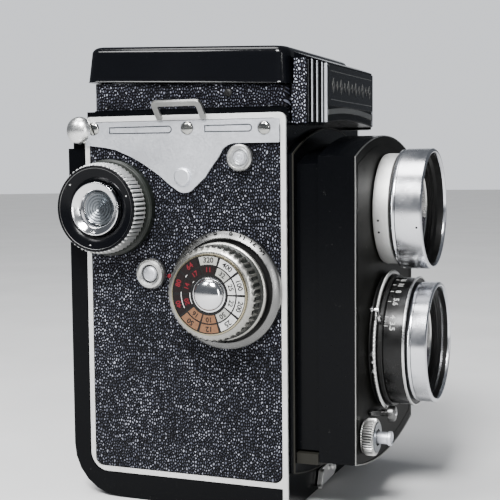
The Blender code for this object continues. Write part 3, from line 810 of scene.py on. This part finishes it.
def build_focus_knob():
    at = (0, FOCUS_AXIS.y, FOCUS_AXIS.z)
    ring = [(2.2, 39.9), (15.55, 39.9), (15.6, 40.9), (15.9, 40.95), (17.3, 40.3), (17.85, 39.7),
            (17.85, SIDE_SEAT), (2.2, SIDE_SEAT)]
    lathe("scale_ring", ring, "left", at, "ring_satin", "body", ("focus_scale_ring",), 160, edge=0.06)
    well = [(2.3, 40.0), (15.5, 40.0), (15.5, 39.8), (2.3, 39.8)]
    lathe("scale_well", well, "left", at, "black", "body", (), 96)
    rim = [(0, 49.5), (11.4, 49.5), (11.5, 50.8), (12.0, 51.1), (12.6, 50.9), (13.4, 50.4), (13.9, 49.9, 0.3),
           (14.2, 49.4, 1.1), (14.25, 46.0, 1.1), (13.9, 45.3, 0.3), (13.4, 45.0), (13.4, 44.0), (14.5, 43.7),
           (14.8, 43.4), (14.8, 42.9), (14.4, 42.6), (13.4, 42.5), (13.4, 41.2), (2, 41.2), (2, BOSS_END),
           (0, BOSS_END)]
    # The rim takes a darker copy of the knob metal, as painted shade.
    lathe("focus_rim", rim, "left", at, "shaded_knob_satin", "focus_knob", ("focus_knob_rim",), 8 * FOCUS_TEETH,
          teeth=FOCUS_TEETH, sharp=50)
    # Painted shade: a dark ring that shows between the teeth.
    gaps = [(13.0, 49.0), (13.65, 49.0), (13.65, 45.2), (14.3, 44.9), (14.3, 44.2), (13.0, 44.2)]
    lathe("focus_gap_shade", gaps, "left", at, "green_black", "focus_knob", (), 128)
    throat = [(13.0, 42.3), (14.5, 42.3), (14.5, 41.2), (13.0, 41.2)]
    lathe("focus_throat", throat, "left", at, "black", "focus_knob", (), 128)
    piece("scale_numbers", merged(scale_marks(at)), "ink", "body")

    dial = [(5.3, 51.45), (11.7, 51.45), (12.0, 51.2), (12.0, 50.9), (11.1, 50.9), (11.1, 49.6), (5.3, 49.6)]
    lathe("dial", dial, "left", at, "dial", "film_dial", ("film_speed_dial",), 128, edge=0.06)
    border = [(11.55, 51.7), (11.9, 51.65), (12.05, 51.3), (12.0, 50.9), (11.55, 51.0)]
    lathe("dial_border", border, "left", at, "brass", "film_dial", (), 128)
    build_dial_cells(at)

    dome = [(0, 53.7)]
    for angle in range(10, 95, 10):
        a = math.radians(angle)
        dome.append((4.75 * math.sin(a), 51.4 + 2.3 * math.cos(a)))
    dome += [(4.95, 51.3), (5.15, 51.3), (5.2, 50.8), (5.2, 49.6), (0, 49.6)]
    lathe("focus_dome", dome, "left", at, "chrome", "focus_knob", ("focus_knob_dome",), 72)


def build_side_controls():
    """The winding lock, the flash contact and the index dot, and the two spool knobs opposite."""
    at = (0, LOCK_AXIS.y, LOCK_AXIS.z)
    ring = [(2.5, 39.3), (2.9, 40.2), (3.6, 40.45), (4.3, 40.2), (4.75, 39.5), (4.75, SIDE_SEAT),
            (2.5, SIDE_SEAT)]
    lathe("lock_ring", ring, "left", at, "satin", "body", ("winding_lock_ring",), 80)
    button = [(0, 40.35), (1.6, 40.3), (2.1, 40.0), (2.35, 39.6), (2, 39.5), (2, 34.5), (0, 34.5)]
    lathe("lock_button", button, "left", at, "plate_silver", "winding_lock", ("winding_lock_button",), 64)
    at = (0, FLASH_AXIS.y, FLASH_AXIS.z)
    ring = [(2.25, 38.9), (3.1, 40.1), (3.6, 40.15), (4.0, 39.7), (4.0, SIDE_SEAT), (2.25, SIDE_SEAT)]
    lathe("contact_ring", ring, "left", at, "satin", "body", ("flash_contact_ring",), 80, edge=0.06)
    pin = [(0, 39.7), (0.6, 39.7), (0.75, 39.5), (0.95, 39.5), (1.1, 39.75), (1.6, 39.7), (1.9, 39.3),
           (2.2, 39.0), (2.2, 38.3), (0, 38.3)]
    lathe("contact_pin", pin, "left", at, "plate_silver", "body", ("flash_contact_button",), 64, edge=0.05)
    at = (0, *middle("index_dot").yz)
    dot = [(0, 38.5), (0.5, 38.45), (0.7, 38.2), (0.7, 37.9), (0, 37.9)]
    lathe("index", dot, "left", at, "red", "body", ("index_dot",), 32)
    knob = [(0, 44.2), (3.2, 44.2), (3.6, 45.0), (6.0, 45.2), (6.9, 44.8, 0.2), (7.4, 44.0, 0.6),
            (7.4, 40.6, 0.6), (6.9, 39.8, 0.2), (5.5, 39.6), (2, 39.6), (2, 32.6), (0, 32.6)]
    seat = [(2.3, 38.9), (8.6, 38.9), (9.0, 38.6), (9.0, 38.0), (2.3, 38.0)]
    for label in ("lower", "upper"):
        node = f"spool_knob_{label}"
        at = (0, *middle(node).yz)
        lathe(f"{node}_turned", knob, "right", at, "satin", node, (node,), 8 * SPOOL_TEETH, teeth=SPOOL_TEETH,
              sharp=50)
        lathe(f"spool_seat_{label}", seat, "right", at, "satin", "body", (), 72, edge=0.08)


# ---------------------------------------------------------------- hood and nameplate


def leaned(mesh):
    """The mesh sloped up towards the back, as the top of the hood is."""
    slope = Matrix.Identity(4)
    slope[2][1] = HOOD_SLOPE
    slope[2][3] = -HOOD_SLOPE * low("hood_lid").y
    mesh.transform(slope)
    return mesh


def build_lid():
    """A pressed lid with tapered sides, a rolled upper edge and a hollow underside."""
    lowest, highest = low("hood_lid"), high("hood_lid")
    bottom = lowest.z
    top = highest.z - HOOD_SLOPE * (highest.y - lowest.y)
    layers = [(0.0, bottom), (0.2, bottom + 0.3), (0.25, bottom + 0.6), (1.04, top - 3.0), (1.07, top - 2.7)]
    for i in range(9):
        turn = math.radians(90 * i / 8)
        layers.append((1.1 + 2.4 * (1 - math.cos(turn)), top - 2.4 * (1 - math.sin(turn))))
    outlines = []
    for inset, z in layers:
        line = footprint(lowest, highest, inset, 4.2 - inset * 0.3)
        outlines.append([(x, y, z) for x, y in line])
    hollow = slab_mesh([footprint(lowest, highest, 2.2, 3)], "up", bottom - 3, top - 1.4)
    piece("lid", leaned(cut(lofted(outlines), hollow)), "gloss_enamel", "hood_lid", ("hood_lid",), 0.0, 50)


def build_hood_base():
    lowest, highest = low("hood_base"), high("hood_base")
    inner = rounded((-28.6, -29.5), (28.6, 28.6), 1)
    skirt = slab_mesh([footprint(lowest, highest, 0, 3), inner], "up", lowest.z - 3, low("hood_lid").z - 0.4)
    skirt = cut(leaned(skirt), box_mesh((-50, -50, 110), (50, 50, lowest.z)))
    piece("hood_skirt", skirt, "leather", "body", ("hood_base",), 0.25)
    foot = rounded((lowest.x - 0.5, lowest.y - 0.3), (highest.x + 0.5, highest.y + 0.4), 3.4)
    slab("hood_foot", [foot, inner], "up", lowest.z - 0.1, lowest.z + 0.5, "enamel", "body", (), 0.2)
    for side, sign in SIDES:
        screw = slotted_head((0, 0, 0), 1.3, 0.6, side, 30)
        screw.transform(Matrix.Translation((sign * (highest.x - 0.1), -14.4, 126.9)))
        piece(f"hood_screw_{side}", screw, "black", "body", (), 0.06)
        pins = []
        for y, z in ((27.3, 123.5), (-27.9, 122.7)):
            spot = (sign * (highest.x + 0.4), y, z)
            pins.append(lathe_mesh([(0, 0.2), (0.35, 0.15), (0.4, -0.4), (0, -0.4)], side, spot, 20))
        piece(f"hood_pins_{side}", merged(pins), "chrome", "body")


def build_leaves():
    """The folding leaves and the magnifier under the lid."""
    for label in ("left", "right", "rear"):
        node = f"hood_leaf_{label}"
        lowest, highest = low(node), high(node)
        root, tip = (lowest.x, highest.x) if label == "left" else (highest.x, lowest.x)
        line = [(root, lowest.y), (root, highest.y), (tip, highest.y - 26), (tip, lowest.y + 26.2)]
        if label == "rear":
            line = [(lowest.x, highest.y), (highest.x, highest.y), (2.5, lowest.y), (-2.5, lowest.y)]
        slab(f"leaf_{label}", [line], "up", lowest.z, highest.z, "enamel", node, (node,), 0.12)
    spot = middle("magnifier_lens")
    lowest, highest = low("magnifier_frame"), high("magnifier_frame")
    rim = footprint(lowest, highest, 0, 3)
    slab("loupe_frame", [rim, circle(spot.xy, 10.2)], "up", lowest.z, highest.z, "black", "magnifier",
         ("magnifier_frame",), 0.25)
    bulge = [(0, 1.2)] + [(10.1 * i / 8, 1.2 - 1.1 * (i / 8) ** 2) for i in range(1, 9)]
    bulge += [(r, -h) for r, h in reversed(bulge[1:])] + [(0, -1.2)]
    lathe("loupe", bulge, "up", spot, "clear", "magnifier", ("magnifier_lens",), 96)


def build_brow():
    """The nameplate's housing: stepped corners, a sloped top and a shallow tunnel above the lens board."""
    lowest, highest = low("nameplate_housing"), high("nameplate_housing")
    steps = [(33, -35.1), (33, -40.1), (31, -40.3), (30.8, -41.0), (29, -41.2), (28.8, -41.9), (27, -42.1),
             (26.8, -42.8), (25.2, -43.0), (25, lowest.y)]
    plan = steps + [(-x, y) for x, y in reversed(steps)]
    core = slab_mesh([plan], "up", lowest.z, highest.z + 1)
    slope_rear = highest.z + BROW_SLOPE * 6
    slope_front = highest.z - BROW_SLOPE * 14
    above = slab_mesh([[(-50, slope_front), (-30, slope_rear), (-30, 160), (-50, 160)]], "side", -40, 40)
    roof = [(26, 117.2), (18, 118.4), (8, 119.1)]
    tunnel = roof + [(-x, z) for x, z in reversed(roof)] + [(-26, 110), (26, 110)]
    core = cut(core, above, slab_mesh([tunnel], "front", 30, 50), box_mesh((-45, -36, 128.9), (45, -30, 150)))
    piece("brow", core, "enamel", "body", ("nameplate_housing",), 0.12, 25, 2)
    ribs = []
    for x, y, half in ((31.0, 40.85, 0.16), (29.0, 41.75, 0.16), (27.0, 42.65, 0.16), (25.2, 43.3, 0.42)):
        rib_top = highest.z - BROW_SLOPE * (y - 36) - 0.5
        for sign in (-1, 1):
            ribs.append(box_mesh((sign * x - half, -y - half, 117.6), (sign * x + half, -y + half, rib_top)))
    piece("brow_ribs", merged(ribs), "plate_silver", "body", (), 0.05)
    strip = rounded((-39.9, 117.2), (-35.3, 136.2), 0.4, 2)
    sides = [slab_mesh([strip], "side", level - 0.2, level + 0.2) for level in (-33.15, 33.15)]
    gap_cut = box_mesh((-45, -36, 128.6), (45, -30, 150))
    # The brow strips take the leather copy with brighter painted glints, as painted light.
    piece("brow_leather", cut(merged(sides), gap_cut), "brighter_lit_leather", "body", (), 0.1)


def arched_band(top, bottom):
    """A band under the nameplate, between two heights measured from the plate's lower arch."""
    arch = [(24.6 - 49.2 * i / 24, 122.6 - 1.2 * (1 - 2 * i / 24) ** 2) for i in range(25)]
    return [(x, z + top) for x, z in arch] + [(x, z + bottom) for x, z in reversed(arch)]


def build_nameplate():
    """The plate in its frame, with a row of plain lozenges between two lines."""
    front = -low("nameplate_housing").y
    band = arched_band(0, -1.6)
    slab("brow_band", [band], "front", front - 0.4, front + 0.35, "worn_metal", "body", (), 0.12)
    lip = arched_band(-3.5, -3.9)
    slab("brow_lip", [lip], "front", front - 0.6, front + 0.15, "black", "body", (), 0.05)
    lowest, highest = low("nameplate"), high("nameplate")
    face = -lowest.y
    bottom = lowest.z + 0.5
    field = rounded((lowest.x, bottom), (highest.x, highest.z), 0.6, 4)
    slab("plate_field", [field], "front", front - 0.3, face - 0.1, "gloss_enamel", "body", ("nameplate",),
         0.1)
    centre = (bottom + highest.z) / 2
    marks = []
    for i in range(11):
        x = -20 + 4 * i
        half = 1.5 if i % 2 else 2.3
        for size in (half, 0.55 * half):
            outlines = []
            for reach in (size, 0.72 * size):
                points = ((-0.62, 0), (0, 1), (0.62, 0), (0, -1))
                outlines.append([(x + u * reach, centre + v * reach) for u, v in points])
            marks.append(slab_mesh(outlines, "front", face - 0.2, face))
    for z in (centre - 4.3, centre + 4.3):
        marks.append(box_mesh((-22.5, -face, z - 0.12), (22.5, 0.2 - face, z + 0.12)))
    piece("plate_ornament", merged(marks), "worn_metal", "body")


# ---------------------------------------------------------------- lens standard


def build_collar():
    """The part of the front that stays on the body: a rim, a sleeve and a shelf below."""
    rim = arched(36, 12.5, 108.2, 4.4, 8.4)
    way = arched(31, 22, 103, 3.2, 5)
    sleeve = arched(33, 19.4, 105.2, 4.2, 6.4)
    shelf = [arched(34.4, 15.4, 18.6, 4.2, 0.5), arched(33.6, 16.0, 17.9, 3.9, 0.2)]
    slab("collar_rim", [rim, way], "front", 35.1, 36.6, "enamel", "body", ("fixed_collar",), 0.45, 40, 3)
    slab("collar_sleeve", [sleeve, way], "front", 35.6, -low("fixed_collar").y, "enamel", "body", (), 0.3, 40)
    # The shelf and the edge band take the lighter copy of the enamel, as painted light.
    slab("collar_shelf", shelf, "front", 36, 43.4, "lit_grey_enamel", "body", (), 0.15, 40)
    edge = [arched(36.05, 12.4, 108.3, 4.5, 8.4), arched(35.7, 12.8, 107.95, 4.4, 8.35)]
    slab("collar_edge", edge, "front", 36.2, 36.66, "lit_grey_enamel", "body")


def build_housing():
    """The lens board: side walls, a face with two openings, a grey band along the front edge as painted
    highlight, and a line round the face.
    """
    half = high("front_housing").x
    front, rear = -low("front_housing").y, -high("front_housing").y
    walls = [arched(half, 16.3, 107.3, 4.2, 6.7), arched(33.3, 18.6, 105.7, 3.9, 6.4)]
    slab("housing_walls", walls, "front", rear, front - 0.5, "enamel", "standard", ("front_housing",), 0.35,
         40, 3)
    face = slab_mesh([arched(half - 0.45, 16.9, 106.8, 4.2, 6.6)], "front", front - 1.9, front - 0.25)
    opening = [(0, 80), (13.4, 80), (13.4, 30), (0, 30)]
    tools = [lathe_mesh(opening, "front", (0, 0, axis.z), 64) for axis in (VIEW_AXIS, TAKE_AXIS)]
    piece("housing_face", cut(face, *tools), "plate_enamel", "standard", (), 0.3, 40)
    # Painted highlight: a grey metal band along the front edge of the walls.
    edge = [arched(half, 16.35, 107.25, 4.2, 6.68), arched(half - 0.22, 16.6, 107.03, 4.19, 6.64)]
    slab("housing_edge_highlight", edge, "front", front - 0.35, front - 0.05, "worn_metal", "standard", (), 0.05)
    line = [arched(half - 2.6, 19.0, 104.8, 4.1, 6.3), arched(half - 2.85, 19.25, 104.5, 4.08, 6.28)]
    slab("face_line", line, "front", front - 0.5, front - 0.16, "plate_enamel", "standard")


def behind(level, shape):
    """Profile points given as a radius and a depth behind a level."""
    return [(radius, level - depth) for radius, depth in shape]


def build_lens(prefix, axis, rear, mount_rear):
    """A bright front ring over black threaded and stepped walls, and a coated glass."""
    at = (0, 0, axis.z)
    front = -low(f"{prefix}_lens_ring").y
    ring = behind(front, [(18.0, 0), (18.6, 0.12), (18.93, 0.5)])
    ring += behind(rear, [(18.93, -1.7), (18.55, -1.35), (18.55, -0.95), (18.75, -0.6), (18.6, -0.1),
                          (18.3, 0), (15.8, 0), (15.8, -2), (17.4, -3.2)])
    ring += behind(front, [(17.4, 1.0), (17.7, 0.15)])
    lathe(f"{prefix}_ring", ring, "front", at, "ring_chrome", "standard", (f"{prefix}_lens_ring",), 160)
    bore = []
    for depth in (0.9, 1.45, 2.0, 2.55):
        bore += [(17.38, depth), (17.52, depth + 0.275)]
    bore += [(17.3, 3.0), (16.9, 3.3), (16.2, 3.6), (16.2, 4.4), (15.5, 4.6), (15.5, 5.3), (14.7, 5.5),
             (14.7, 6.0), (13.6, 6.3)]
    wall = behind(front, bore) + behind(mount_rear, [(13.6, -2), (15.6, -2)])
    wall += behind(rear, [(15.6, -2.2), (17.41, -3.4)])
    lathe(f"{prefix}_wall", wall, "front", at, "black", "standard", (), 128)
    cell = behind(front, [(13.55, 5.6), (13.0, 5.4), (12.6, 5.8), (12.6, 8.5), (13.55, 8.5)])
    lathe(f"{prefix}_cell", cell, "front", at, "dull_chrome", "standard", (), 128)
    bulge = [(12.5 * i / 12, 5.0 + 2.2 * (i / 12) ** 2) for i in range(13)]
    glass = behind(front, bulge + [(12.5, 9.5), (0, 9.5)])
    lathe(f"{prefix}_glass", glass, "front", at, "glass", "standard", (f"{prefix}_lens_glass",), 128)


def build_viewing_lens():
    at = (0, 0, VIEW_AXIS.z)
    rear = -high("viewing_lens_ring").y
    build_lens("viewing", VIEW_AXIS, rear, rear - 5.4)
    mount = [(13.6, 60.4), (16.9, 60.4), (17.45, 60.1), (17.5, 56.3), (17.2, 55.4), (13.6, 55.4)]
    lathe("viewing_mount", mount, "front", at, "bright_satin", "standard", ("viewing_lens_mount",), 160,
          edge=0.05)
    # Painted shade: a black ring in the gap between the mount and the face.
    groove = [(13.6, 61.2), (17.75, 61.2), (17.75, 60.5), (13.6, 60.5)]
    lathe("viewing_groove_shade", groove, "front", at, "black", "standard", (), 96)
    dots = []
    for angle, height, radius in ((9.8, 57.1, 17.5), (22.3, 57.1, 17.5), (15, 69.2, 18.93)):
        dot = lathe_mesh([(0, 0.06), (0.34, 0.04), (0.38, -0.1), (0, -0.1)], "right", (radius, 0, 0), 20)
        spin = Matrix.Rotation(math.radians(180 - angle), 4, "Y")
        dot.transform(Matrix.Translation((0, -height, VIEW_AXIS.z)) @ spin)
        dots.append(dot)
    piece("viewing_dots", merged(dots), "ink", "standard")


def on_barrel(axis_z, radius, height, angle, turn):
    """Text laid on a barrel: angle 0 is the winding side, rising clockwise seen from the front."""
    around = Matrix.Rotation(math.radians(angle), 4, "Y")
    stand = Matrix(((0, 0, -1, -radius), (0, 1, 0, -height), (1, 0, 0, 0), (0, 0, 0, 1)))
    return Matrix.Translation((0, 0, axis_z)) @ around @ stand @ Matrix.Rotation(math.radians(turn), 4, "Z")


def build_drum_figures():
    """Apertures and shutter speeds with their ticks round the shutter's drum."""
    marks = []
    stops = (("22", 89), ("16", 78), ("11", 67), ("8", 56.6), ("5.6", 44.4), ("4", 29), ("3.5", 20.8))
    for text, angle in stops:
        marks.append(glyph(text, 2.3, on_barrel(TAKE_AXIS.z, 20.12, 61.9, angle, 180)))
        tick = box_mesh((-0.5, -0.1, -0.03), (0.5, 0.1, 0.03))
        tick.transform(on_barrel(TAKE_AXIS.z, 20.14, 60.0, angle, 90))
        marks.append(tick)
    for i, text in enumerate(("B", "1", "2", "5", "10", "25", "50", "100", "300")):
        marks.append(glyph(text, 2.1, on_barrel(TAKE_AXIS.z, 20.12, 61.9, 14 * i - 190, 180)))
    piece("drum_numbers", merged(marks), "white", "standard")


def build_shutter():
    at = (0, 0, TAKE_AXIS.z)
    build_lens("taking", TAKE_AXIS, 66.0, 60.5)
    flange = [(13.6, 56.0), (20.8, 56.0), (21.2, 55.7), (21.2, 55.2), (13.6, 55.2)]
    lathe("shutter_flange", flange, "front", at, "black", "standard", (), 128)
    rim = [(21.2, 57.4), (21.9, 57.45, 0.05), (22.3, 57.3, 0.3), (22.4, 57.1, 0.35), (22.3, 56.85, 0.3),
           (22.0, 56.7, 0.1), (21.2, 56.7)]
    lathe("speed_rim", rim, "front", at, "bright_satin", "speed_ring", ("speed_ring",), 6 * SPEED_TEETH,
          teeth=SPEED_TEETH, sharp=60)
    seat = [(20.3, 57.4), (21.4, 57.4), (21.9, 56.6), (21.8, 56.25), (20.3, 56.2)]
    lathe("speed_seat", seat, "front", at, "black", "speed_ring", (), 128)
    case = [(13.6, 65.3), (19.9, 65.3), (20.05, 64.8), (20.1, 60.2), (20.15, 59.5), (19.9, 59.3),
            (19.9, 55.9), (13.6, 55.9)]
    lathe("scale_drum", case, "front", at, "dial", "standard", ("shutter_case",), 160)
    trim = [(20.0, 65.95), (20.3, 65.95), (20.5, 65.75), (20.5, 65.3), (20.3, 65.2), (20.0, 65.2)]
    lathe("drum_trim", trim, "front", at, "trim_silver", "standard", (), 160)
    mask = [(13.6, 65.7), (20.05, 65.7), (20.05, 65.2), (13.6, 65.2)]
    lathe("drum_mask", mask, "front", at, "black", "standard", (), 128)
    lever = [(20.2, 59.2), (20.75, 59.2), (20.9, 59.0), (20.9, 58.1), (20.2, 57.95)]
    lathe("aperture_ring", lever, "front", at, "black", "aperture_lever", ("aperture_lever",), 128)
    line = [(-17.6, 57.9), (-20.4, 57.2), (-23.7, 60.9), (-22.9, 61.5), (-20.2, 58.6), (-17.9, 59.2)]
    pin = [(0, 59.1), (0.5, 59.1), (0.6, 58.9), (0.6, 57.2), (0.85, 57.0), (0.85, 56.4), (0, 56.3)]
    arm = [slab_mesh([line], "front", 58.2, 58.9), lathe_mesh(pin, "front", (-23.2, 0, 61.4), 32)]
    piece("aperture_arm", merged(arm), "chrome", "aperture_lever", (), 0.06)
    build_drum_figures()
    studs = []
    for angle, size in ((-3, 0.8), (-10, 0.5), (-18, 0.6)):
        head = [(0, 0.3), (size * 0.7, 0.25), (size, 0.0), (size, -1.4), (0, -1.4)]
        stud = lathe_mesh(head, "left", (-22.0, 0, 0), 24)
        spin = Matrix.Rotation(math.radians(angle), 4, "Y")
        stud.transform(Matrix.Translation((0, -56.4, TAKE_AXIS.z)) @ spin)
        studs.append(stud)
    piece("shutter_studs", merged(studs), "chrome", "standard")


def build_levers():
    """The cocking lever, and the release pin in its knurled collar."""
    at = (-8, 0, 26.6)
    boss = [(0, 60.4), (1.9, 60.4), (2.3, 60.2), (2.5, 59.8), (2.5, 58.2), (2.3, 58.0), (1.05, 58.0),
            (1.05, 55.4), (0, 55.4)]
    line = [(-8, 27.5), (-14, 28.4), (-20, 29.7), (-20.6, 29.4), (-20.4, 28.4), (-14, 26.9), (-8, 25.7)]
    lever = [lathe_mesh(boss, "front", at, 56), slab_mesh([line], "front", 55.35, 55.95)]
    piece("cocking", merged(lever), "ring_satin", "cocking_lever", ("cocking_lever",), 0.1)
    screw = [(0, 60.75), (0.5, 60.7), (0.75, 60.5), (0.8, 60.3), (0, 60.2)]
    lathe("cocking_screw", screw, "front", at, "chrome", "cocking_lever", (), 32)
    at = (RELEASE_AXIS.x, 0, RELEASE_AXIS.z)
    collar = [(2.5, 59.0), (2.9, 59.2), (4.5, 59.3), (5.1, 59.2, 0.15), (5.5, 58.9, 0.8), (5.6, 58.5, 0.8),
              (5.6, 56.4, 0.95), (5.2, 55.9, 0.3), (5.0, 55.4), (2.5, 55.3)]
    lathe("release_knurl", collar, "front", at, "satin", "release_collar", ("release_collar",),
          6 * COLLAR_TEETH, teeth=COLLAR_TEETH, sharp=50)
    # Painted shade: a dark ring that shows between the teeth.
    gaps = [(4.2, 58.6), (5.15, 58.6), (5.15, 55.8), (4.2, 55.8)]
    lathe("release_gap_shade", gaps, "front", at, "black", "release_collar", (), 72)
    face = [(2.55, 59.5), (4.5, 59.5), (4.7, 59.2), (2.55, 59.1)]
    lathe("release_face", face, "front", at, "dark_metal_and_groove_shade", "release_collar", (), 72)
    pin = [(0, 63.6), (1.4, 63.6), (1.7, 63.8), (2.1, 63.7), (2.2, 63.4), (2.2, 62.9), (2.0, 62.7),
           (1.8, 62.6), (1.8, 59.4), (1.7, 59.2), (1.7, 55.6), (1.2, 55.4), (1.2, 52), (0, 52)]
    lathe("release_pin", pin, "front", at, "plate_silver", "release_button", ("release_button",), 64)


# ---------------------------------------------------------------- back, inside and underside


def build_back():
    """The hinged back: its leather, and the red window with its slide over the film counter."""
    repaint("back_door", "enamel")
    repaint("tripod_bush", "satin")
    rear = high("back_door").y
    window_z = 46
    panel = rounded((-34.5, 20), (34.5, 108), 3)
    leather_line = [(-x, z) for x, z in panel]
    outlines = [leather_line, circle((0, window_z), 5.6, 35)]
    slab("back_leather", outlines, "back", rear - 0.1, rear + 0.7, "leather", "back", (), 0.25)
    at = (0, 0, window_z)
    ring = [(4.1, rear + 1.1), (5.0, rear + 1.1), (5.5, rear + 0.7), (5.5, rear - 0.2), (4.1, rear - 0.2)]
    lathe("window_ring", ring, "back", at, "satin", "back", (), 72)
    glass = [(0, rear + 0.3), (4.15, rear + 0.2), (4.15, rear - 1.4), (0, rear - 1.4)]
    lathe("window_glass", glass, "back", at, "red", "back", ("counter_window",), 64)
    slide = [slab_mesh([rounded((-3.2, 52.4), (3.2, 56.2), 0.8)], "back", rear + 0.6, rear + 1.3)]
    for i in range(7):
        x = -2.4 + 0.8 * i
        slide.append(box_mesh((x, rear + 1.2, 52.9), (x + 0.3, rear + 1.6, 55.7)))
    piece("window_slide", merged(slide), "satin", "back", (), 0.1)


def build_latch():
    """The bright tab under the lens board: a plate that turns on a pin, with a rolled end and a rivet."""
    pivot = (3.5, 4.2)
    outline = [(6.3, 5.2)] + arc(pivot, 2.7, 25, 90, 6)
    outline += [(-8.6, 6.9), (-9.8, 6.4), (-11.6, 2.6), (-11.4, 1.7), (-10.6, 1.4), (-4, 1.2), (3.5, 1.5)]
    outline += arc(pivot, 2.7, -60, -10, 4)
    plate = slab_mesh([outline], "front", 35.3, 36.2)
    head = [(0, 37.0), (0.6, 36.9), (0.95, 36.6), (1.0, 36.1), (0, 36.1)]
    rivet = lathe_mesh(head, "front", (-1.0, 0, 5.2), 40)
    head = [(0, 37.0), (0.9, 36.9), (1.4, 36.5), (1.5, 36.1), (0, 36.1)]
    pin = lathe_mesh(head, "front", (pivot[0], 0, pivot[1]), 40)
    curl = [(-8.9, 6.9), (-10.2, 6.3), (-12.0, 2.6), (-12.9, 2.2), (-12.8, 1.4), (-11.6, 1.3), (-10.9, 2.0),
            (-9.2, 5.9)]
    roll = slab_mesh([curl], "front", 36.1, 37.2)
    # The tab takes the brightest silver, as painted light against the shade under the lens board.
    piece("latch", merged([plate, rivet, pin, roll]), "bright_satin", "latch", ("back_latch",), 0.2)


def build_inside():
    for node, look in (
        ("body_shell", "enamel"), ("film_gate", "black"), ("take_up_spool", "black"),
        ("pressure_plate", "black"), ("reflex_mirror", "mirror"), ("focusing_screen", "screen"),
    ):
        repaint(node, look)


# ---------------------------------------------------------------- stage


def build_floor():
    work = bmesh.new()
    bmesh.ops.create_circle(work, cap_ends=True, segments=96, radius=4.0)
    ground = bpy.data.objects.new("floor", mesh_of(work, "floor"))
    ground.location = (0, 0, CAD_BOX[0].z - 0.0002)
    paint = Paint((0.68, 0.68, 0.67), 0.7)
    paint.colour(paint.ramp(paint.noise(14, 4), [(0.3, (0.66, 0.66, 0.66)), (0.7, (0.72, 0.72, 0.72))]))
    ground.data.materials.append(paint.material)
    bpy.context.scene.collection.objects.link(ground)


def build_studio():
    """A grey studio with one bright wall, which the silver side faces."""
    world = bpy.data.worlds.new("studio")
    world.use_nodes = True
    tree = world.node_tree
    coords = tree.nodes.new("ShaderNodeTexCoord")
    toward = tree.nodes.new("ShaderNodeVectorMath")
    toward.operation = "DOT_PRODUCT"
    toward.inputs[1].default_value = (0.93, 0.37, 0)
    tree.links.new(coords.outputs["Generated"], toward.inputs[0])
    ramp = tree.nodes.new("ShaderNodeValToRGB")
    grey, bright = ramp.color_ramp.elements
    grey.position = 0.925
    grey.color = (0.13, 0.14, 0.155, 1)
    bright.position = 0.955
    bright.color = (1.0, 1.03, 1.08, 1)
    tree.links.new(toward.outputs["Value"], ramp.inputs["Fac"])
    tree.links.new(ramp.outputs["Color"], tree.nodes["Background"].inputs["Color"])
    bpy.context.scene.world = world


def hang_lamp(light, place, aim):
    lamp = bpy.data.objects.new(light.name, light)
    lamp.location = place
    lamp.rotation_euler = (Vector(aim) - Vector(place)).to_track_quat("-Z", "Y").to_euler()
    bpy.context.scene.collection.objects.link(lamp)


def build_lamps():
    sky = bpy.data.lights.new("sky", "SUN")
    sky.energy = 2.1
    sky.angle = math.radians(30)
    hang_lamp(sky, (0, 0, 0), (0.1, -0.25, -1))
    for name, place, aim, size, tall, power in (
        ("key", (-0.62, -0.08, 0.68), (0, 0, 0.09), 0.24, 0.24, 15),
        ("side", (-0.6, 0.42, 0.75), (0, 0, 0.07), 0.25, 0.25, 5),
        ("strip", (-0.72, -0.62, 0.2), (0, 0, 0.07), 0.08, 0.5, 3),
    ):
        light = bpy.data.lights.new(name, "AREA")
        light.shape = "RECTANGLE"
        light.size = size
        light.size_y = tall
        light.energy = power
        hang_lamp(light, place, aim)


def build_camera():
    yaw, pitch, roll = (math.radians(v) for v in (YAW, PITCH, ROLL))
    forward = Vector((math.cos(yaw) * math.cos(pitch), math.sin(yaw) * math.cos(pitch), -math.sin(pitch)))
    right = forward.cross(Vector((0, 0, 1))).normalized()
    up = right.cross(forward)
    right, up = (math.cos(roll) * right + math.sin(roll) * up, -math.sin(roll) * right + math.cos(roll) * up)
    data = bpy.data.cameras.new("camera")
    data.lens = LENS_MM
    data.sensor_width = 36
    data.clip_start = 0.01
    camera = bpy.data.objects.new("camera", data)
    camera.matrix_world = Matrix((
        (right.x, up.x, -forward.x, EYE[0] * MM),
        (right.y, up.y, -forward.y, EYE[1] * MM),
        (right.z, up.z, -forward.z, EYE[2] * MM),
        (0, 0, 0, 1),
    ))
    bpy.context.scene.collection.objects.link(camera)
    bpy.context.scene.camera = camera


build_camera()
build_floor()
build_studio()
build_lamps()
build_skins()
build_strap_plates()
build_hinge()
build_lugs()
build_wind_knob()
build_focus_knob()
build_side_controls()
build_lid()
build_hood_base()
build_leaves()
build_brow()
build_nameplate()
build_collar()
build_housing()
build_viewing_lens()
build_shutter()
build_levers()
build_back()
build_latch()
build_inside()
